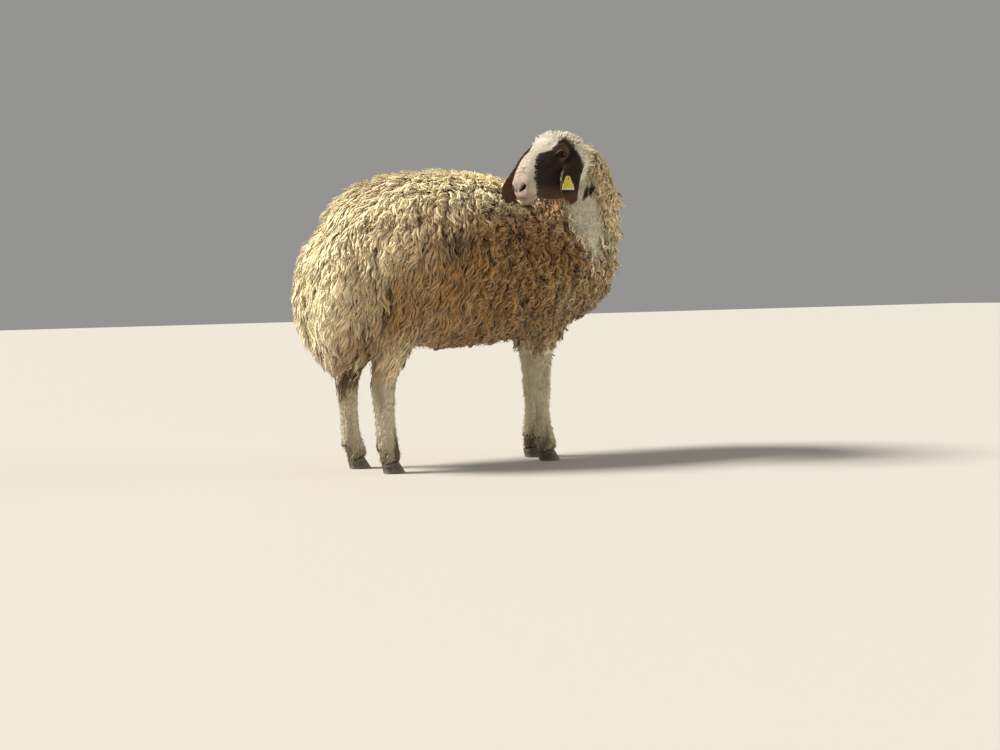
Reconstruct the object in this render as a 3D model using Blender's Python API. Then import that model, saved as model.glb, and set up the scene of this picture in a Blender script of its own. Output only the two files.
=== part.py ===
"""A fat-tailed sheep in full fleece, standing and looking back over its right shoulder.

A still, life-size model in metres, +Z up. +X runs from the tail to the chest and +Y to the animal's own
left. The origin is on the floor, under the middle of the model's box. The body and the head are each
lofted, fused and smoothed, then parted with thin cuts. Outer surfaces are where the tips of the coat end.
"""

import math

import bmesh
import bpy
from mathutils import Matrix, Vector

# Driving dimensions
BACK_HEIGHT = 0.792
BELLY_HEIGHT = 0.318
HALF_WIDTH = 0.212
CUT_GAP = 0.0003
BODY_VOXEL = 0.0060
HEAD_VOXEL = 0.0032
BODY_TRIANGLES = 3760
HEAD_TRIANGLES = 1660

# Where each foot stands
FEET = {
    "front_left": (0.275, 0.046),
    "front_right": (0.263, -0.062),
    "hind_left": (-0.239, 0.084),
    "hind_right": (-0.212, -0.086),
}
# How thick each shank is, and how far it stands behind its hoof
LEG_SHAPE = {
    "front_left": (0.019, 0.004),
    "front_right": (0.0195, 0.014),
    "hind_left": (0.0245, 0.024),
    "hind_right": (0.0262, 0.018),
}
LEG_CUTS = {"front": 0.292, "hind": 0.250}
CORONET_HEIGHT = 0.030
CORONET_TILT = math.radians(16)
CLAW_LENGTH = 0.055
CLAW_WIDTH = 0.0225
CLAW_SPLAY = math.radians(3)

# The head: its poll, and where it looks (0 is straight ahead, along +X, and it turns to the right)
POLL = Vector((0.2279, -0.2517, 0.8580))
HEAD_TURN = math.radians(-162)
HEAD_SCALE = 0.97
NAPE = Vector((0.288, -0.2104, 0.815))
EYE_RADIUS = 0.0135
EYE = Vector((0.0740, 0.0520, -0.050))
EAR_THICKNESS = 0.0058
TAG_WIDTH = 0.035
TAG_HEIGHT = 0.038
TAG_THICKNESS = 0.0018
TAG_PIN = 0.0024
TAG_REACH = 0.0182
TAG_PLACE = Vector((0.087, 0.0882, -0.1145))

COLOURS = {
    "wool": (0.62, 0.47, 0.28),
    "face_hair": (0.40, 0.32, 0.25),
    "white_hair": (0.70, 0.64, 0.52),
    "brown_hair": (0.07, 0.032, 0.022),
    "eye": (0.03, 0.018, 0.01),
    "horn": (0.05, 0.038, 0.03),
    "tag_plastic": (0.78, 0.68, 0.05),
}
ROUGHNESS = {"eye": 0.08, "horn": 0.55, "tag_plastic": 0.4}


def clear_scene():
    for obj in list(bpy.data.objects):
        bpy.data.objects.remove(obj, do_unlink=True)


def material(name):
    found = bpy.data.materials.get(name)
    if found:
        return found
    made = bpy.data.materials.new(name)
    made.use_nodes = True
    shader = made.node_tree.nodes["Principled BSDF"]
    shader.inputs["Base Color"].default_value = (*COLOURS[name], 1)
    shader.inputs["Roughness"].default_value = ROUGHNESS.get(name, 0.85)
    shader.inputs["Metallic"].default_value = 0.0
    return made


def link(name, bm, matrix=Matrix(), even=True):
    """The bmesh as a new object of that name, with its faces outward."""
    bm.transform(matrix)
    if even:
        bmesh.ops.recalc_face_normals(bm, faces=bm.faces)
    if bm.calc_volume(signed=True) < 0:
        bmesh.ops.reverse_faces(bm, faces=bm.faces)
    mesh = bpy.data.meshes.new(name)
    bm.to_mesh(mesh)
    bm.free()
    obj = bpy.data.objects.new(name, mesh)
    bpy.context.scene.collection.objects.link(obj)
    return obj


def finish(obj, name, slot, smooth=True):
    obj.name = name
    obj.data.name = name
    obj.data.materials.clear()
    obj.data.materials.append(material(slot))
    for polygon in obj.data.polygons:
        polygon.use_smooth = smooth


def keep_only(obj):
    """Makes obj the one selected and active object."""
    bpy.ops.object.select_all(action="DESELECT")
    obj.select_set(True)
    bpy.context.view_layer.objects.active = obj


def apply_all(obj):
    keep_only(obj)
    for modifier in list(obj.modifiers):
        bpy.ops.object.modifier_apply(modifier=modifier.name)


def cut_away(obj, cutter, keep_cutter=False):
    """Takes the cutter's solid out of obj."""
    cutter.hide_render = True
    cutter.display_type = "WIRE"
    cut = obj.modifiers.new("cut", "BOOLEAN")
    cut.operation = "DIFFERENCE"
    cut.solver = "EXACT"
    cut.object = cutter
    apply_all(obj)
    if not keep_cutter:
        bpy.data.objects.remove(cutter, do_unlink=True)


def between(values, t):
    """A Catmull-Rom curve through rows of numbers, at t from 0 to 1."""
    last = len(values) - 1
    i = min(int(t * last), last - 1)
    u = t * last - i
    rows = [values[max(0, min(last, k))] for k in (i - 1, i, i + 1, i + 2)]
    return [
        0.5
        * (
            2 * b
            + (c - a) * u
            + (2 * a - 5 * b + 4 * c - d) * u * u
            + (3 * b - a - 3 * c + d) * u ** 3
        )
        for a, b, c, d in zip(*rows)
    ]


def loft(
    name, stations, side_hint=Vector((0, 1, 0)), matrix=Matrix(), steps=4, segments=28, taper=0.0, cup=0.0
):
    """A closed tube through (x, y, z, half width, half height). taper widens its upper side, and cup bends
    its width into a trough."""
    count = (len(stations) - 1) * steps + 1
    rows = [between(stations, i / (count - 1)) for i in range(count)]
    centres = [Vector(row[:3]) for row in rows]
    bm = bmesh.new()
    rings = []
    for i, row in enumerate(rows):
        along = (centres[min(i + 1, count - 1)] - centres[max(i - 1, 0)]).normalized()
        side = (side_hint - along * side_hint.dot(along)).normalized()
        up = along.cross(side)
        ring = []
        for k in range(segments):
            turn = 2 * math.pi * k / segments
            across = row[3] * math.cos(turn) * (1 + taper * math.sin(turn))
            rise = row[4] * math.sin(turn) - cup * across * across
            ring.append(bm.verts.new(centres[i] + side * across + up * rise))
        rings.append(ring)
    for low, high in zip(rings, rings[1:]):
        for k in range(segments):
            n = (k + 1) % segments
            bm.faces.new((low[k], low[n], high[n], high[k]))
    bm.faces.new(rings[0])
    bm.faces.new(rings[-1])
    return link(name, bm, matrix)


def ball(name, centre, radii, matrix=Matrix(), turn=(0, 0, 0), rings=16):
    """An ellipsoid."""
    bm = bmesh.new()
    bmesh.ops.create_uvsphere(bm, u_segments=2 * rings, v_segments=rings, radius=1)
    place = Matrix.Translation(centre) @ Matrix.Rotation(turn[2], 4, "Z")
    place = place @ Matrix.Rotation(turn[1], 4, "Y") @ Matrix.Rotation(turn[0], 4, "X")
    return link(name, bm, matrix @ place @ Matrix.Diagonal((*radii, 1)))


def slab(centre, normal, half_height, half_width, thickness=CUT_GAP):
    """A thin box square to the normal: half_width along Y and half_height across it."""
    bm = bmesh.new()
    bmesh.ops.create_cube(bm, size=2)
    wide = Vector((0, 1, 0))
    tall = wide.cross(normal).normalized()
    axes = Matrix((tall, wide, normal)).transposed().to_4x4()
    size = Matrix.Diagonal((half_height, half_width, thickness / 2, 1))
    return link("slab", bm, Matrix.Translation(centre) @ axes @ size, even=False)


def head_frame():
    """From the head's own axes (x to the nose, y to its left ear, z up, origin at the poll) to the model's."""
    return Matrix.Translation(POLL) @ Matrix.Rotation(HEAD_TURN, 4, "Z") @ Matrix.Scale(HEAD_SCALE, 4)


def trunk_pieces():
    """The barrel, rump and chest, and the pads of the fat tail."""
    top, low, wide = BACK_HEIGHT, BELLY_HEIGHT, HALF_WIDTH
    outline = [  # x, underside, back, half width
        (-0.360, 0.510, 0.590, 0.050),
        (-0.340, 0.440, top - 0.136, 0.120),
        (-0.285, 0.375, top - 0.066, 0.174),
        (-0.200, low + 0.020, top - 0.024, 0.202),
        (-0.080, low + 0.004, top - 0.001, wide),
        (0.050, low + 0.003, top - 0.004, wide + 0.004),
        (0.170, low + 0.014, top - 0.018, wide),
        (0.280, low + 0.036, top - 0.035, 0.198),
        (0.370, 0.398, top - 0.060, 0.172),
        (0.438, 0.482, top - 0.090, 0.120),
        (0.482, 0.565, 0.655, 0.050),
    ]
    stations = [(x, 0.0, (b + t) / 2, w, (t - b) / 2) for x, b, t, w in outline]
    made = [loft("trunk_form", stations, segments=40, taper=-0.06)]
    for side in (1, -1):
        pad = (-0.342, side * 0.060, 0.475)
        tip = (-0.328, side * 0.048, 0.365)
        made.append(ball(f"tail_pad_{side}", pad, (0.072, 0.088, 0.165), turn=(0, 0.08, 0)))
        made.append(ball(f"tail_tip_{side}", tip, (0.060, 0.078, 0.088)))
    made.append(ball("tail_end", (-0.330, 0.0, 0.305), (0.042, 0.045, 0.050)))
    made.append(ball("shoulder_form", (0.222, -0.104, 0.576), (0.150, 0.109, 0.128)))
    return made


def neck_pieces():
    """The neck rises from the chest and winds to the right, back towards the shoulder, up to the nape."""
    stations = [
        (0.262, 0.000, 0.510, 0.175, 0.185),
        (0.325, -0.010, 0.590, 0.155, 0.172),
        (0.352, -0.056, 0.666, 0.128, 0.144),
        (0.326, -0.126, 0.730, 0.104, 0.111),
        (0.292, -0.190, 0.784, 0.086, 0.088),
        (0.266, -0.224, 0.810, 0.062, 0.060),
    ]
    return [loft("neck_form", stations, segments=32), ball("nape_form", NAPE, (0.042, 0.042, 0.040))]


def head_pieces(frame):
    """The skull, brows, cheeks, muzzle and the cap of wool on the poll."""
    outline = [  # x, top, underside, half width
        (-0.045, -0.030, -0.115, 0.046),
        (-0.010, -0.002, -0.140, 0.058),
        (0.022, 0.008, -0.157, 0.065),
        (0.050, 0.000, -0.164, 0.066),
        (0.080, -0.018, -0.167, 0.060),
        (0.110, -0.038, -0.167, 0.051),
        (0.136, -0.065, -0.168, 0.041),
        (0.158, -0.092, -0.169, 0.037),
        (0.177, -0.112, -0.164, 0.030),
    ]
    stations = [(x, 0.0, (t + b) / 2, w, (t - b) / 2) for x, t, b, w in outline]
    made = [loft("skull_form", stations, taper=0.12, matrix=frame)]
    made.append(ball("cap_form", (0.014, 0.000, -0.024), (0.062, 0.062, 0.041), frame))
    made.append(ball("forelock_form", (0.056, 0.000, -0.013), (0.043, 0.055, 0.027), frame, (0, 0.45, 0)))
    made.append(ball("nose_form", (0.154, 0, -0.126), (0.030, 0.035, 0.027), frame, (0, 0.5, 0)))
    made.append(ball("lip_form", (0.149, 0, -0.154), (0.033, 0.032, 0.019), frame))
    for side in (1, -1):
        made.append(ball(f"brow_form_{side}", (0.060, side * 0.042, -0.036), (0.030, 0.021, 0.022), frame))
        made.append(ball(f"cheek_form_{side}", (0.046, side * 0.030, -0.108), (0.056, 0.031, 0.052), frame))
    return made


def leg_pieces(name):
    """One leg from inside the fleece down to the hoof, with the dewclaws' swelling."""
    x, y = FEET[name]
    out = 1 if y > 0 else -1
    thick, back = LEG_SHAPE[name]
    if name.startswith("hind"):
        stations = [  # forward, outward, height, half width, half depth
            (0.004, 0.020, 0.550, 0.085, 0.130),
            (0.006, 0.016, 0.430, 0.084, 0.104),
            (0.000, 0.008, 0.340, 0.062, 0.066),
            (0.006 - back, 0.002, 0.276, 0.030 + 0.25 * thick, 0.034 + 0.25 * thick),
            (-0.002 - back, 0.000, 0.228, thick + 0.001, thick + 0.008),
            (-back, 0.000, 0.146, thick - 0.003, thick + 0.001),
            (-0.7 * back, 0.000, 0.082, thick - 0.002, thick + 0.003),
            (-0.005, 0.000, 0.048, 0.024, 0.027),
            (0.000, 0.000, 0.012, 0.024, 0.027),
        ]
    else:
        stations = [
            (-back, 0.020, 0.510, 0.080, 0.110),
            (-back, 0.012, 0.390, 0.060, 0.080),
            (-back, 0.004, 0.325, 0.037, 0.045),
            (-back, 0.000, 0.262, thick + 0.006, thick + 0.009),
            (-back, 0.000, 0.205, thick + 0.003, thick + 0.006),
            (-back, 0.000, 0.138, thick - 0.001, thick + 0.001),
            (-back * 0.8, 0.000, 0.085, thick + 0.002, thick + 0.006),
            (-back * 0.2, 0.000, 0.048, 0.023, 0.027),
            (0.000, 0.000, 0.012, 0.023, 0.027),
        ]
    placed = [(x + f, y + out * o, z, w, d) for f, o, z, w, d in stations]
    made = [loft(f"leg_form_{name}", placed, segments=24)]
    rear = x - 0.8 * back - 0.020
    for side in (1, -1):
        claw = ball(f"dewclaw_form_{name}_{side}", (rear, y + side * 0.012, 0.072), (0.010, 0.008, 0.013))
        made.append(claw)
    return made


def fused(pieces, voxel):
    """All the pieces as one closed body."""
    keep_only(pieces[0])
    for piece in pieces:
        piece.select_set(True)
    bpy.ops.object.join()
    body = bpy.context.view_layer.objects.active
    fuse = body.modifiers.new("fuse", "REMESH")
    fuse.mode = "VOXEL"
    fuse.voxel_size = voxel
    apply_all(body)
    return body


def weigh(obj, name, rule):
    group = obj.vertex_groups.new(name=name)
    for vertex in obj.data.vertices:
        group.add([vertex.index], min(1.0, max(0.0, rule(vertex.co))), "REPLACE")


def soften(obj, rule, iterations):
    """Smooths the fused forms into each other, by the rule's weight at each point."""
    weigh(obj, "soft", rule)
    melt = obj.modifiers.new("melt", "SMOOTH")
    melt.factor = 0.5
    melt.iterations = iterations
    melt.vertex_group = "soft"
    polish = obj.modifiers.new("polish", "SMOOTH")
    polish.factor = 0.5
    polish.iterations = 3
    apply_all(obj)


def thin_out(obj, rule, triangles, bias=0.006):
    """Fewer faces, with more of them kept where the rule is true."""
    weigh(obj, "plain", lambda p: 0.5 if rule(p) else 1.0)
    obj.data.calc_loop_triangles()
    thin = obj.modifiers.new("thin", "DECIMATE")
    thin.ratio = triangles / len(obj.data.loop_triangles)
    thin.vertex_group = "plain"
    thin.vertex_group_factor = bias
    thin.use_collapse_triangulate = True
    apply_all(obj)
    obj.vertex_groups.clear()


def make_body():
    pieces = trunk_pieces() + neck_pieces()
    for name in FEET:
        pieces += leg_pieces(name)
    body = fused(pieces, BODY_VOXEL)
    soften(body, lambda p: 0.12 + (p.z - 0.21) / 0.08, 40)
    thin_out(body, lambda p: p.z < 0.13, BODY_TRIANGLES)
    return body


def make_head(frame):
    to_head = frame.inverted()
    head = fused(head_pieces(frame), HEAD_VOXEL)
    soften(head, lambda p: 0.45, 30)
    thin_out(head, lambda p: (to_head @ p).x > 0.02, HEAD_TRIANGLES, 0.001)
    return head


def part_body(body):
    """Cuts the body into neck, trunk, tail and legs, and names them by where they lie."""
    lean = Vector((0.71, 0, 0.70)).normalized()
    cuts = [slab(Vector((0.325, 0, 0.640)), lean, 0.26, 0.30)]
    cuts.append(slab(Vector((-0.345, 0, 0.445)), Vector((0.939, 0, 0.343)).normalized(), 0.2078, 0.30))
    for name, (x, y) in FEET.items():
        height = LEG_CUTS[name.split("_")[0]]
        cuts.append(slab(Vector((x - 0.02, y, height)), Vector((0, 0, 1)), 0.075, 0.075))
    for cutter in cuts:
        cut_away(body, cutter)
    keep_only(body)
    bpy.ops.object.mode_set(mode="EDIT")
    bpy.ops.mesh.select_all(action="SELECT")
    bpy.ops.mesh.separate(type="LOOSE")
    bpy.ops.object.mode_set(mode="OBJECT")
    found = {}
    for piece in list(bpy.context.selected_objects):
        points = [v.co for v in piece.data.vertices]
        middle = sum(points, Vector()) / len(points)
        front = "front" if middle.x > 0 else "hind"
        if max(p.z for p in points) <= LEG_CUTS[front] + 0.001:
            name = f"{front}_leg_{'left' if middle.y > 0 else 'right'}"
        elif middle.x < -0.30:
            name = "tail"
        else:
            name = "neck" if middle.z > 0.59 and middle.x > 0.25 else "trunk"
        found.setdefault(name, []).append(piece)
    return {name: pieces[0] for name, pieces in found.items()}


def make_ear(side, frame, head_shell):
    """One broad hanging ear, hollowed on its inner face, from just off the head to its tip."""
    full = EAR_THICKNESS
    if side > 0:  # hangs along the cheek
        across = Vector((0.94, -0.34, 0))
        stations = [  # forward, outward, up, half width, half thickness
            (0.004, 0.042, -0.012, 0.013, 0.0105),
            (0.010, 0.058, -0.026, 0.018, 0.0095),
            (0.038, 0.078, -0.062, 0.0260, full + 0.0015),
            (0.070, 0.084, -0.108, 0.0325, full),
            (0.076, 0.087, -0.150, 0.0290, full - 0.001),
            (0.062, 0.089, -0.178, 0.014, full - 0.0022),
        ]
    else:  # held out and forward
        across = Vector((0.634, -0.561, 0.531))
        stations = [
            (0.006, 0.042, -0.008, 0.014, 0.0105),
            (0.018, 0.062, -0.016, 0.021, 0.0095),
            (0.040, 0.081, -0.044, 0.030, full + 0.0015),
            (0.063, 0.098, -0.090, 0.0345, full),
            (0.087, 0.120, -0.134, 0.032, full - 0.001),
            (0.099, 0.132, -0.163, 0.015, full - 0.0022),
        ]
    placed = [(x, side * y, z, w, t) for x, y, z, w, t in stations]
    ear = loft("ear", placed, across, steps=3, segments=12, matrix=frame, cup=-4.0 * side)
    cut_away(ear, head_shell, keep_cutter=True)
    return biggest(ear)


def biggest(obj):
    """Only the largest of obj's loose pieces."""
    keep_only(obj)
    bpy.ops.object.mode_set(mode="EDIT")
    bpy.ops.mesh.select_all(action="SELECT")
    bpy.ops.mesh.separate(type="LOOSE")
    bpy.ops.object.mode_set(mode="OBJECT")
    pieces = sorted(bpy.context.selected_objects, key=lambda o: len(o.data.vertices))
    for piece in pieces[:-1]:
        bpy.data.objects.remove(piece, do_unlink=True)
    return pieces[-1]


def shell_of(obj, distance):
    """A copy of obj, swollen by that distance."""
    shell = obj.copy()
    shell.data = obj.data.copy()
    bpy.context.scene.collection.objects.link(shell)
    swell = shell.modifiers.new("swell", "DISPLACE")
    swell.strength = distance
    swell.mid_level = 0.0
    apply_all(shell)
    return shell


def make_eye(side, frame, head):
    """An eyeball in a socket cut to fit it."""
    centre = Vector((EYE.x, side * EYE.y, EYE.z))
    socket = ball("socket", centre, [EYE_RADIUS + CUT_GAP] * 3, frame, rings=8)
    cut_away(head, socket)
    return ball("eye", centre, [EYE_RADIUS] * 3, frame, rings=8)


def make_claw(name, inner):
    """One of a foot's two claws: a flat sole, a sloping toe wall and a tilted top."""
    x, y = FEET[name]
    toe, heel = CLAW_LENGTH * 0.60, -CLAW_LENGTH * 0.40
    bm = bmesh.new()
    rings = []
    for height, swell in ((0.0, 0.94), (0.003, 1.0), (0.016, 0.98), (0.030, 0.94), (0.046, 0.88)):
        front, back = toe - 0.62 * height, heel - 0.22 * height
        ring = [bm.verts.new((back, 0.0, height)), bm.verts.new((front, 0.0, height))]
        for k in range(1, 10):
            turn = math.pi * k / 10
            reach = 0.5 * (front + back) + 0.5 * (front - back) * math.cos(turn)
            ring.append(bm.verts.new((reach, CLAW_WIDTH * swell * math.sin(turn) ** 0.62, height)))
        rings.append(ring)
    for low, high in zip(rings, rings[1:]):
        for k in range(len(low)):
            n = (k + 1) % len(low)
            bm.faces.new((low[k], low[n], high[n], high[k]))
    bm.faces.new(rings[0])
    bm.faces.new(rings[-1])
    bm.transform(Matrix.Rotation(inner * CLAW_SPLAY, 4, "Z") @ Matrix.Diagonal((1, inner, 1, 1)))
    tilt = Vector((-math.sin(CORONET_TILT), 0, math.cos(CORONET_TILT)))
    top = Vector((0.0, 0.0, CORONET_HEIGHT - CUT_GAP / 2))
    geometry = bm.verts[:] + bm.edges[:] + bm.faces[:]
    bmesh.ops.bisect_plane(bm, geom=geometry, plane_co=top, plane_no=tilt, clear_outer=True)
    bmesh.ops.holes_fill(bm, edges=bm.edges[:], sides=0)
    return link("claw", bm, Matrix.Translation((x, y + inner * 0.0019, 0)))


def trim_foot(leg, name):
    """Ends the leg at its coronet."""
    x, y = FEET[name]
    tilt = Vector((-math.sin(CORONET_TILT), 0, math.cos(CORONET_TILT)))
    bm = bmesh.new()
    bm.from_mesh(leg.data)
    point = Vector((x, y, CORONET_HEIGHT + CUT_GAP / 2))
    geometry = bm.verts[:] + bm.edges[:] + bm.faces[:]
    bmesh.ops.bisect_plane(bm, geom=geometry, plane_co=point, plane_no=tilt, clear_inner=True)
    bmesh.ops.holes_fill(bm, edges=bm.edges[:], sides=0)
    bm.to_mesh(leg.data)
    bm.free()


def disc(radius, low, high, place, segments=12):
    """A round bar along the local Y axis, from low to high."""
    bm = bmesh.new()
    bmesh.ops.create_cone(
        bm, cap_ends=True, segments=segments, radius1=radius, radius2=radius, depth=high - low
    )
    turned = Matrix.Translation((0, (low + high) / 2, 0)) @ Matrix.Rotation(math.radians(-90), 4, "X")
    return link("disc", bm, place @ turned)


def fuse_into(obj, other):
    join = obj.modifiers.new("join", "BOOLEAN")
    join.operation = "UNION"
    join.solver = "EXACT"
    join.object = other
    apply_all(obj)
    bpy.data.objects.remove(other, do_unlink=True)


def make_tag(frame, ear):
    """A panel with a round neck on the ear's outer face, and a pin through to a back button."""
    place = frame @ Matrix.Translation(TAG_PLACE) @ Matrix.Rotation(math.radians(-20), 4, "Z")
    cut_away(ear, disc(TAG_PIN + CUT_GAP, -0.020, 0.010, place))
    bm = bmesh.new()
    half, shoulder = TAG_WIDTH / 2, TAG_WIDTH * 0.30
    right = [(half, -TAG_HEIGHT * 0.76), (half * 0.92, -TAG_HEIGHT * 0.42), (shoulder, -TAG_HEIGHT * 0.16)]
    arch = [(0.0080 * math.cos(k * math.pi / 6), 0.0080 * math.sin(k * math.pi / 6)) for k in range(7)]
    corners = right + arch + [(-x, z) for x, z in reversed(right)]
    face = bm.faces.new([bm.verts.new((x, 0, z)) for x, z in corners])
    grown = bmesh.ops.extrude_face_region(bm, geom=[face])
    moved = [v for v in grown["geom"] if isinstance(v, bmesh.types.BMVert)]
    bmesh.ops.translate(bm, verts=moved, vec=(0, TAG_THICKNESS, 0))
    panel = link("tag", bm, place)
    fuse_into(panel, disc(0.0042, TAG_THICKNESS * 0.5, TAG_THICKNESS + 0.0022, place))
    fuse_into(panel, disc(TAG_PIN, -TAG_REACH, TAG_THICKNESS * 0.5, place))
    fuse_into(panel, disc(0.0065, -TAG_REACH - 0.0018, -TAG_REACH + 0.0002, place))
    return panel


def centre_all():
    """Moves everything so that the origin is on the floor under the middle of the whole box."""
    meshes = [obj for obj in bpy.data.objects if not obj.hide_render]
    points = [vertex.co for obj in meshes for vertex in obj.data.vertices]
    low = Vector([min(p[i] for p in points) for i in range(3)])
    high = Vector([max(p[i] for p in points) for i in range(3)])
    shift = Matrix.Translation((-(low.x + high.x) / 2, -(low.y + high.y) / 2, -low.z))
    for obj in meshes:
        obj.data.transform(shift)


def main():
    clear_scene()
    frame = head_frame()
    head = make_head(frame)
    body = make_body()
    parts = part_body(body)
    for side, word in ((1, "left"), (-1, "right")):
        finish(make_eye(side, frame, head), f"eye_{word}", "eye")
    shell = shell_of(head, 0.0005)
    ears = {word: make_ear(side, frame, shell) for side, word in ((1, "left"), (-1, "right"))}
    cut_away(parts["neck"], shell, keep_cutter=True)
    cut_away(parts["trunk"], shell)
    finish(make_tag(frame, ears["left"]), "ear_tag", "tag_plastic", smooth=False)
    for word, ear in ears.items():
        for part in ("trunk", "neck"):
            cut_away(parts[part], shell_of(ear, 0.0005))
        finish(ear, f"ear_{word}", "brown_hair")
    for name in FEET:
        end, word = name.split("_")
        trim_foot(parts[f"{end}_leg_{word}"], name)
        for inner in (1, -1):
            near = "inner" if inner * FEET[name][1] < 0 else "outer"
            finish(make_claw(name, inner), f"hoof_{name}_{near}", "horn", smooth=False)
    for name, part in parts.items():
        finish(biggest(part), name, "white_hair" if "leg" in name else "wool")
    finish(head, "head", "face_hair")
    centre_all()


main()
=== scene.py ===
# A fat-tailed sheep in full fleece: the skin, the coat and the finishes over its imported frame
import math

import bmesh
import bpy
import numpy as np
from mathutils import Matrix, Vector
from mathutils.bvhtree import BVHTree
from mathutils.kdtree import KDTree


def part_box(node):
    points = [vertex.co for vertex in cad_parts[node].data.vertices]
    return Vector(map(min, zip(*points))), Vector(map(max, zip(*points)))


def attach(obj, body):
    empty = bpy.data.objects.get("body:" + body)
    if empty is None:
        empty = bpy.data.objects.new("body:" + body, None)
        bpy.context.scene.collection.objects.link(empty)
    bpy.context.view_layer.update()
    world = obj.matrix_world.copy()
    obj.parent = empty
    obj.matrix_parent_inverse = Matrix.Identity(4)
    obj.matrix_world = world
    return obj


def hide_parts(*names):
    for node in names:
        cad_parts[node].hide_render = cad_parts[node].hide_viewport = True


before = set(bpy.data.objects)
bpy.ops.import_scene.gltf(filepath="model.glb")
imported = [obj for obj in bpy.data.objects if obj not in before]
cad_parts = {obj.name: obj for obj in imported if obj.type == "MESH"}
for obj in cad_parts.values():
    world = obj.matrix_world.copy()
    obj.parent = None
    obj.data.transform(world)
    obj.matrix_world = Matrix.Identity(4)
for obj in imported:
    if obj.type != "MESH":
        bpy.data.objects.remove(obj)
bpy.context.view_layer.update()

dice = np.random.default_rng(7)
fullTurn = 6.28
thinOut = 1


# small helpers for objects
def deselectAll():
    if bpy.context.object and bpy.context.object.mode != "OBJECT":
        bpy.ops.object.mode_set(mode="OBJECT")
    bpy.ops.object.select_all(action="DESELECT")


def pick(obj):
    deselectAll()
    obj.select_set(True)
    bpy.context.view_layer.objects.active = obj


def newObject(name, mesh):
    made = bpy.data.objects.new(name, mesh)
    bpy.context.scene.collection.objects.link(made)
    return made


def modify(obj, kind, **settings):  # adds one modifier and applies it
    modifier = obj.modifiers.new(kind, kind)
    for key, value in settings.items():
        setattr(modifier, key, value)
    pick(obj)
    bpy.ops.object.modifier_apply(modifier=modifier.name)


def roundEdges(obj, width, segments, limit, smooth):
    modify(obj, "BEVEL", width=width, segments=segments, limit_method="ANGLE",
           angle_limit=math.radians(limit))
    bpy.ops.object.shade_smooth_by_angle(angle=math.radians(smooth))


def editAll(job):  # runs one job on the whole mesh in edit mode
    bpy.ops.object.mode_set(mode="EDIT")
    bpy.ops.mesh.select_all(action="SELECT")
    job()
    bpy.ops.object.mode_set(mode="OBJECT")


def placeInMesh(obj, name):  # the object goes to the origin and its place into its mesh
    pick(obj)
    bpy.ops.object.transform_apply(location=True, rotation=True, scale=True)
    obj.name = name
    obj.data.name = name


def copyNodes(name, nodes):  # one merged copy of the frame's own solids, which are never changed
    deselectAll()
    for node in nodes:
        copy = newObject(name, bpy.data.meshes.new_from_object(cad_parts[node]))
        copy.select_set(True)
        bpy.context.view_layer.objects.active = copy
    if len(nodes) > 1:
        bpy.ops.object.join()
    editAll(lambda: bpy.ops.mesh.remove_doubles(threshold=0.00002))
    copy.name = name
    copy.data.materials.clear()
    return copy


# small helpers for meshes and numbers
def fetch(items, key, width=3, kind=float):  # one row of numbers for each item
    flat = np.empty(len(items) * width, dtype=kind)
    items.foreach_get(key, flat)
    return flat.reshape(-1, width)


def readPoints(mesh):
    return fetch(mesh.vertices, "co")


def readEdges(mesh):
    return fetch(mesh.edges, "vertices", 2, np.int64)


def writePoints(mesh, points):
    mesh.vertices.foreach_set("co", np.ascontiguousarray(points).ravel())
    mesh.update()


def writeMarks(mesh, groups):  # named per-point colours
    for name, values in groups.items():
        layer = mesh.attributes.new(name, "FLOAT_COLOR", "POINT")
        rgba = np.ones((len(values), 4), dtype=np.float32)
        rgba[:, :3] = values
        layer.data.foreach_set("color", rgba.ravel())


def relax(values, edges, times, amount=0.5):  # evens values out between neighbours
    values = np.array(values, dtype=float)
    a, b = edges[:, 0], edges[:, 1]
    count = len(values)
    share = np.maximum(np.bincount(a, minlength=count) + np.bincount(b, minlength=count), 1)[:, None]
    flat = values.reshape(count, -1)
    weight = np.broadcast_to(np.reshape(amount, (-1, 1)), (count, 1))
    for _ in range(times):
        total = columns(*(np.bincount(a, row[b], count) + np.bincount(b, row[a], count) for row in flat.T))
        flat = flat + (total / share - flat) * weight
    return flat.reshape(values.shape)


def evenNormals(mesh, times):
    return unit(relax(fetch(mesh.vertex_normals, "vector"), readEdges(mesh), times))


def columns(*values):
    return np.stack(values, axis=1)


def unit(v):
    return v / np.maximum(np.linalg.norm(v, axis=-1, keepdims=True), 1e-9)


def most(amount, *others):  # the largest of several amounts, point by point
    for other in others:
        amount = np.maximum(amount, other)
    return amount


def step(low, high, x):  # 0 at low, 1 at high and past it, smooth between them
    t = np.clip((np.asarray(x, dtype=float) - low) / (high - low), 0, 1)
    return t * t * (3 - 2 * t)


def lumps(points, size, seed=0):  # smooth noise from -1 to 1, its lumps about that size across
    q = points / size + seed * 7.31
    cell = np.floor(q).astype(np.int64)
    f = q - cell
    f = f * f * (3 - 2 * f)
    total = np.zeros(len(points))
    for corner in np.ndindex(2, 2, 2):
        x, y, z = ((cell + corner) * [73856093, 19349663, 83492791]).T
        mixed = x ^ y ^ z
        value = ((mixed * 2654435761 + (mixed >> 7) * 40503) & 0xFFFFFF) / 0x7FFFFF - 1
        wx, wy, wz = np.where(corner, f, 1 - f).T
        total += value * wx * wy * wz
    return total


def nearest(tree, points):  # where each point falls on a surface, and on which face
    spots, faces = np.empty((len(points), 3)), np.empty(len(points), dtype=int)
    for i, p in enumerate(points.tolist()):
        spots[i], _, faces[i], _ = tree.find_nearest(p)
    return spots, faces


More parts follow.
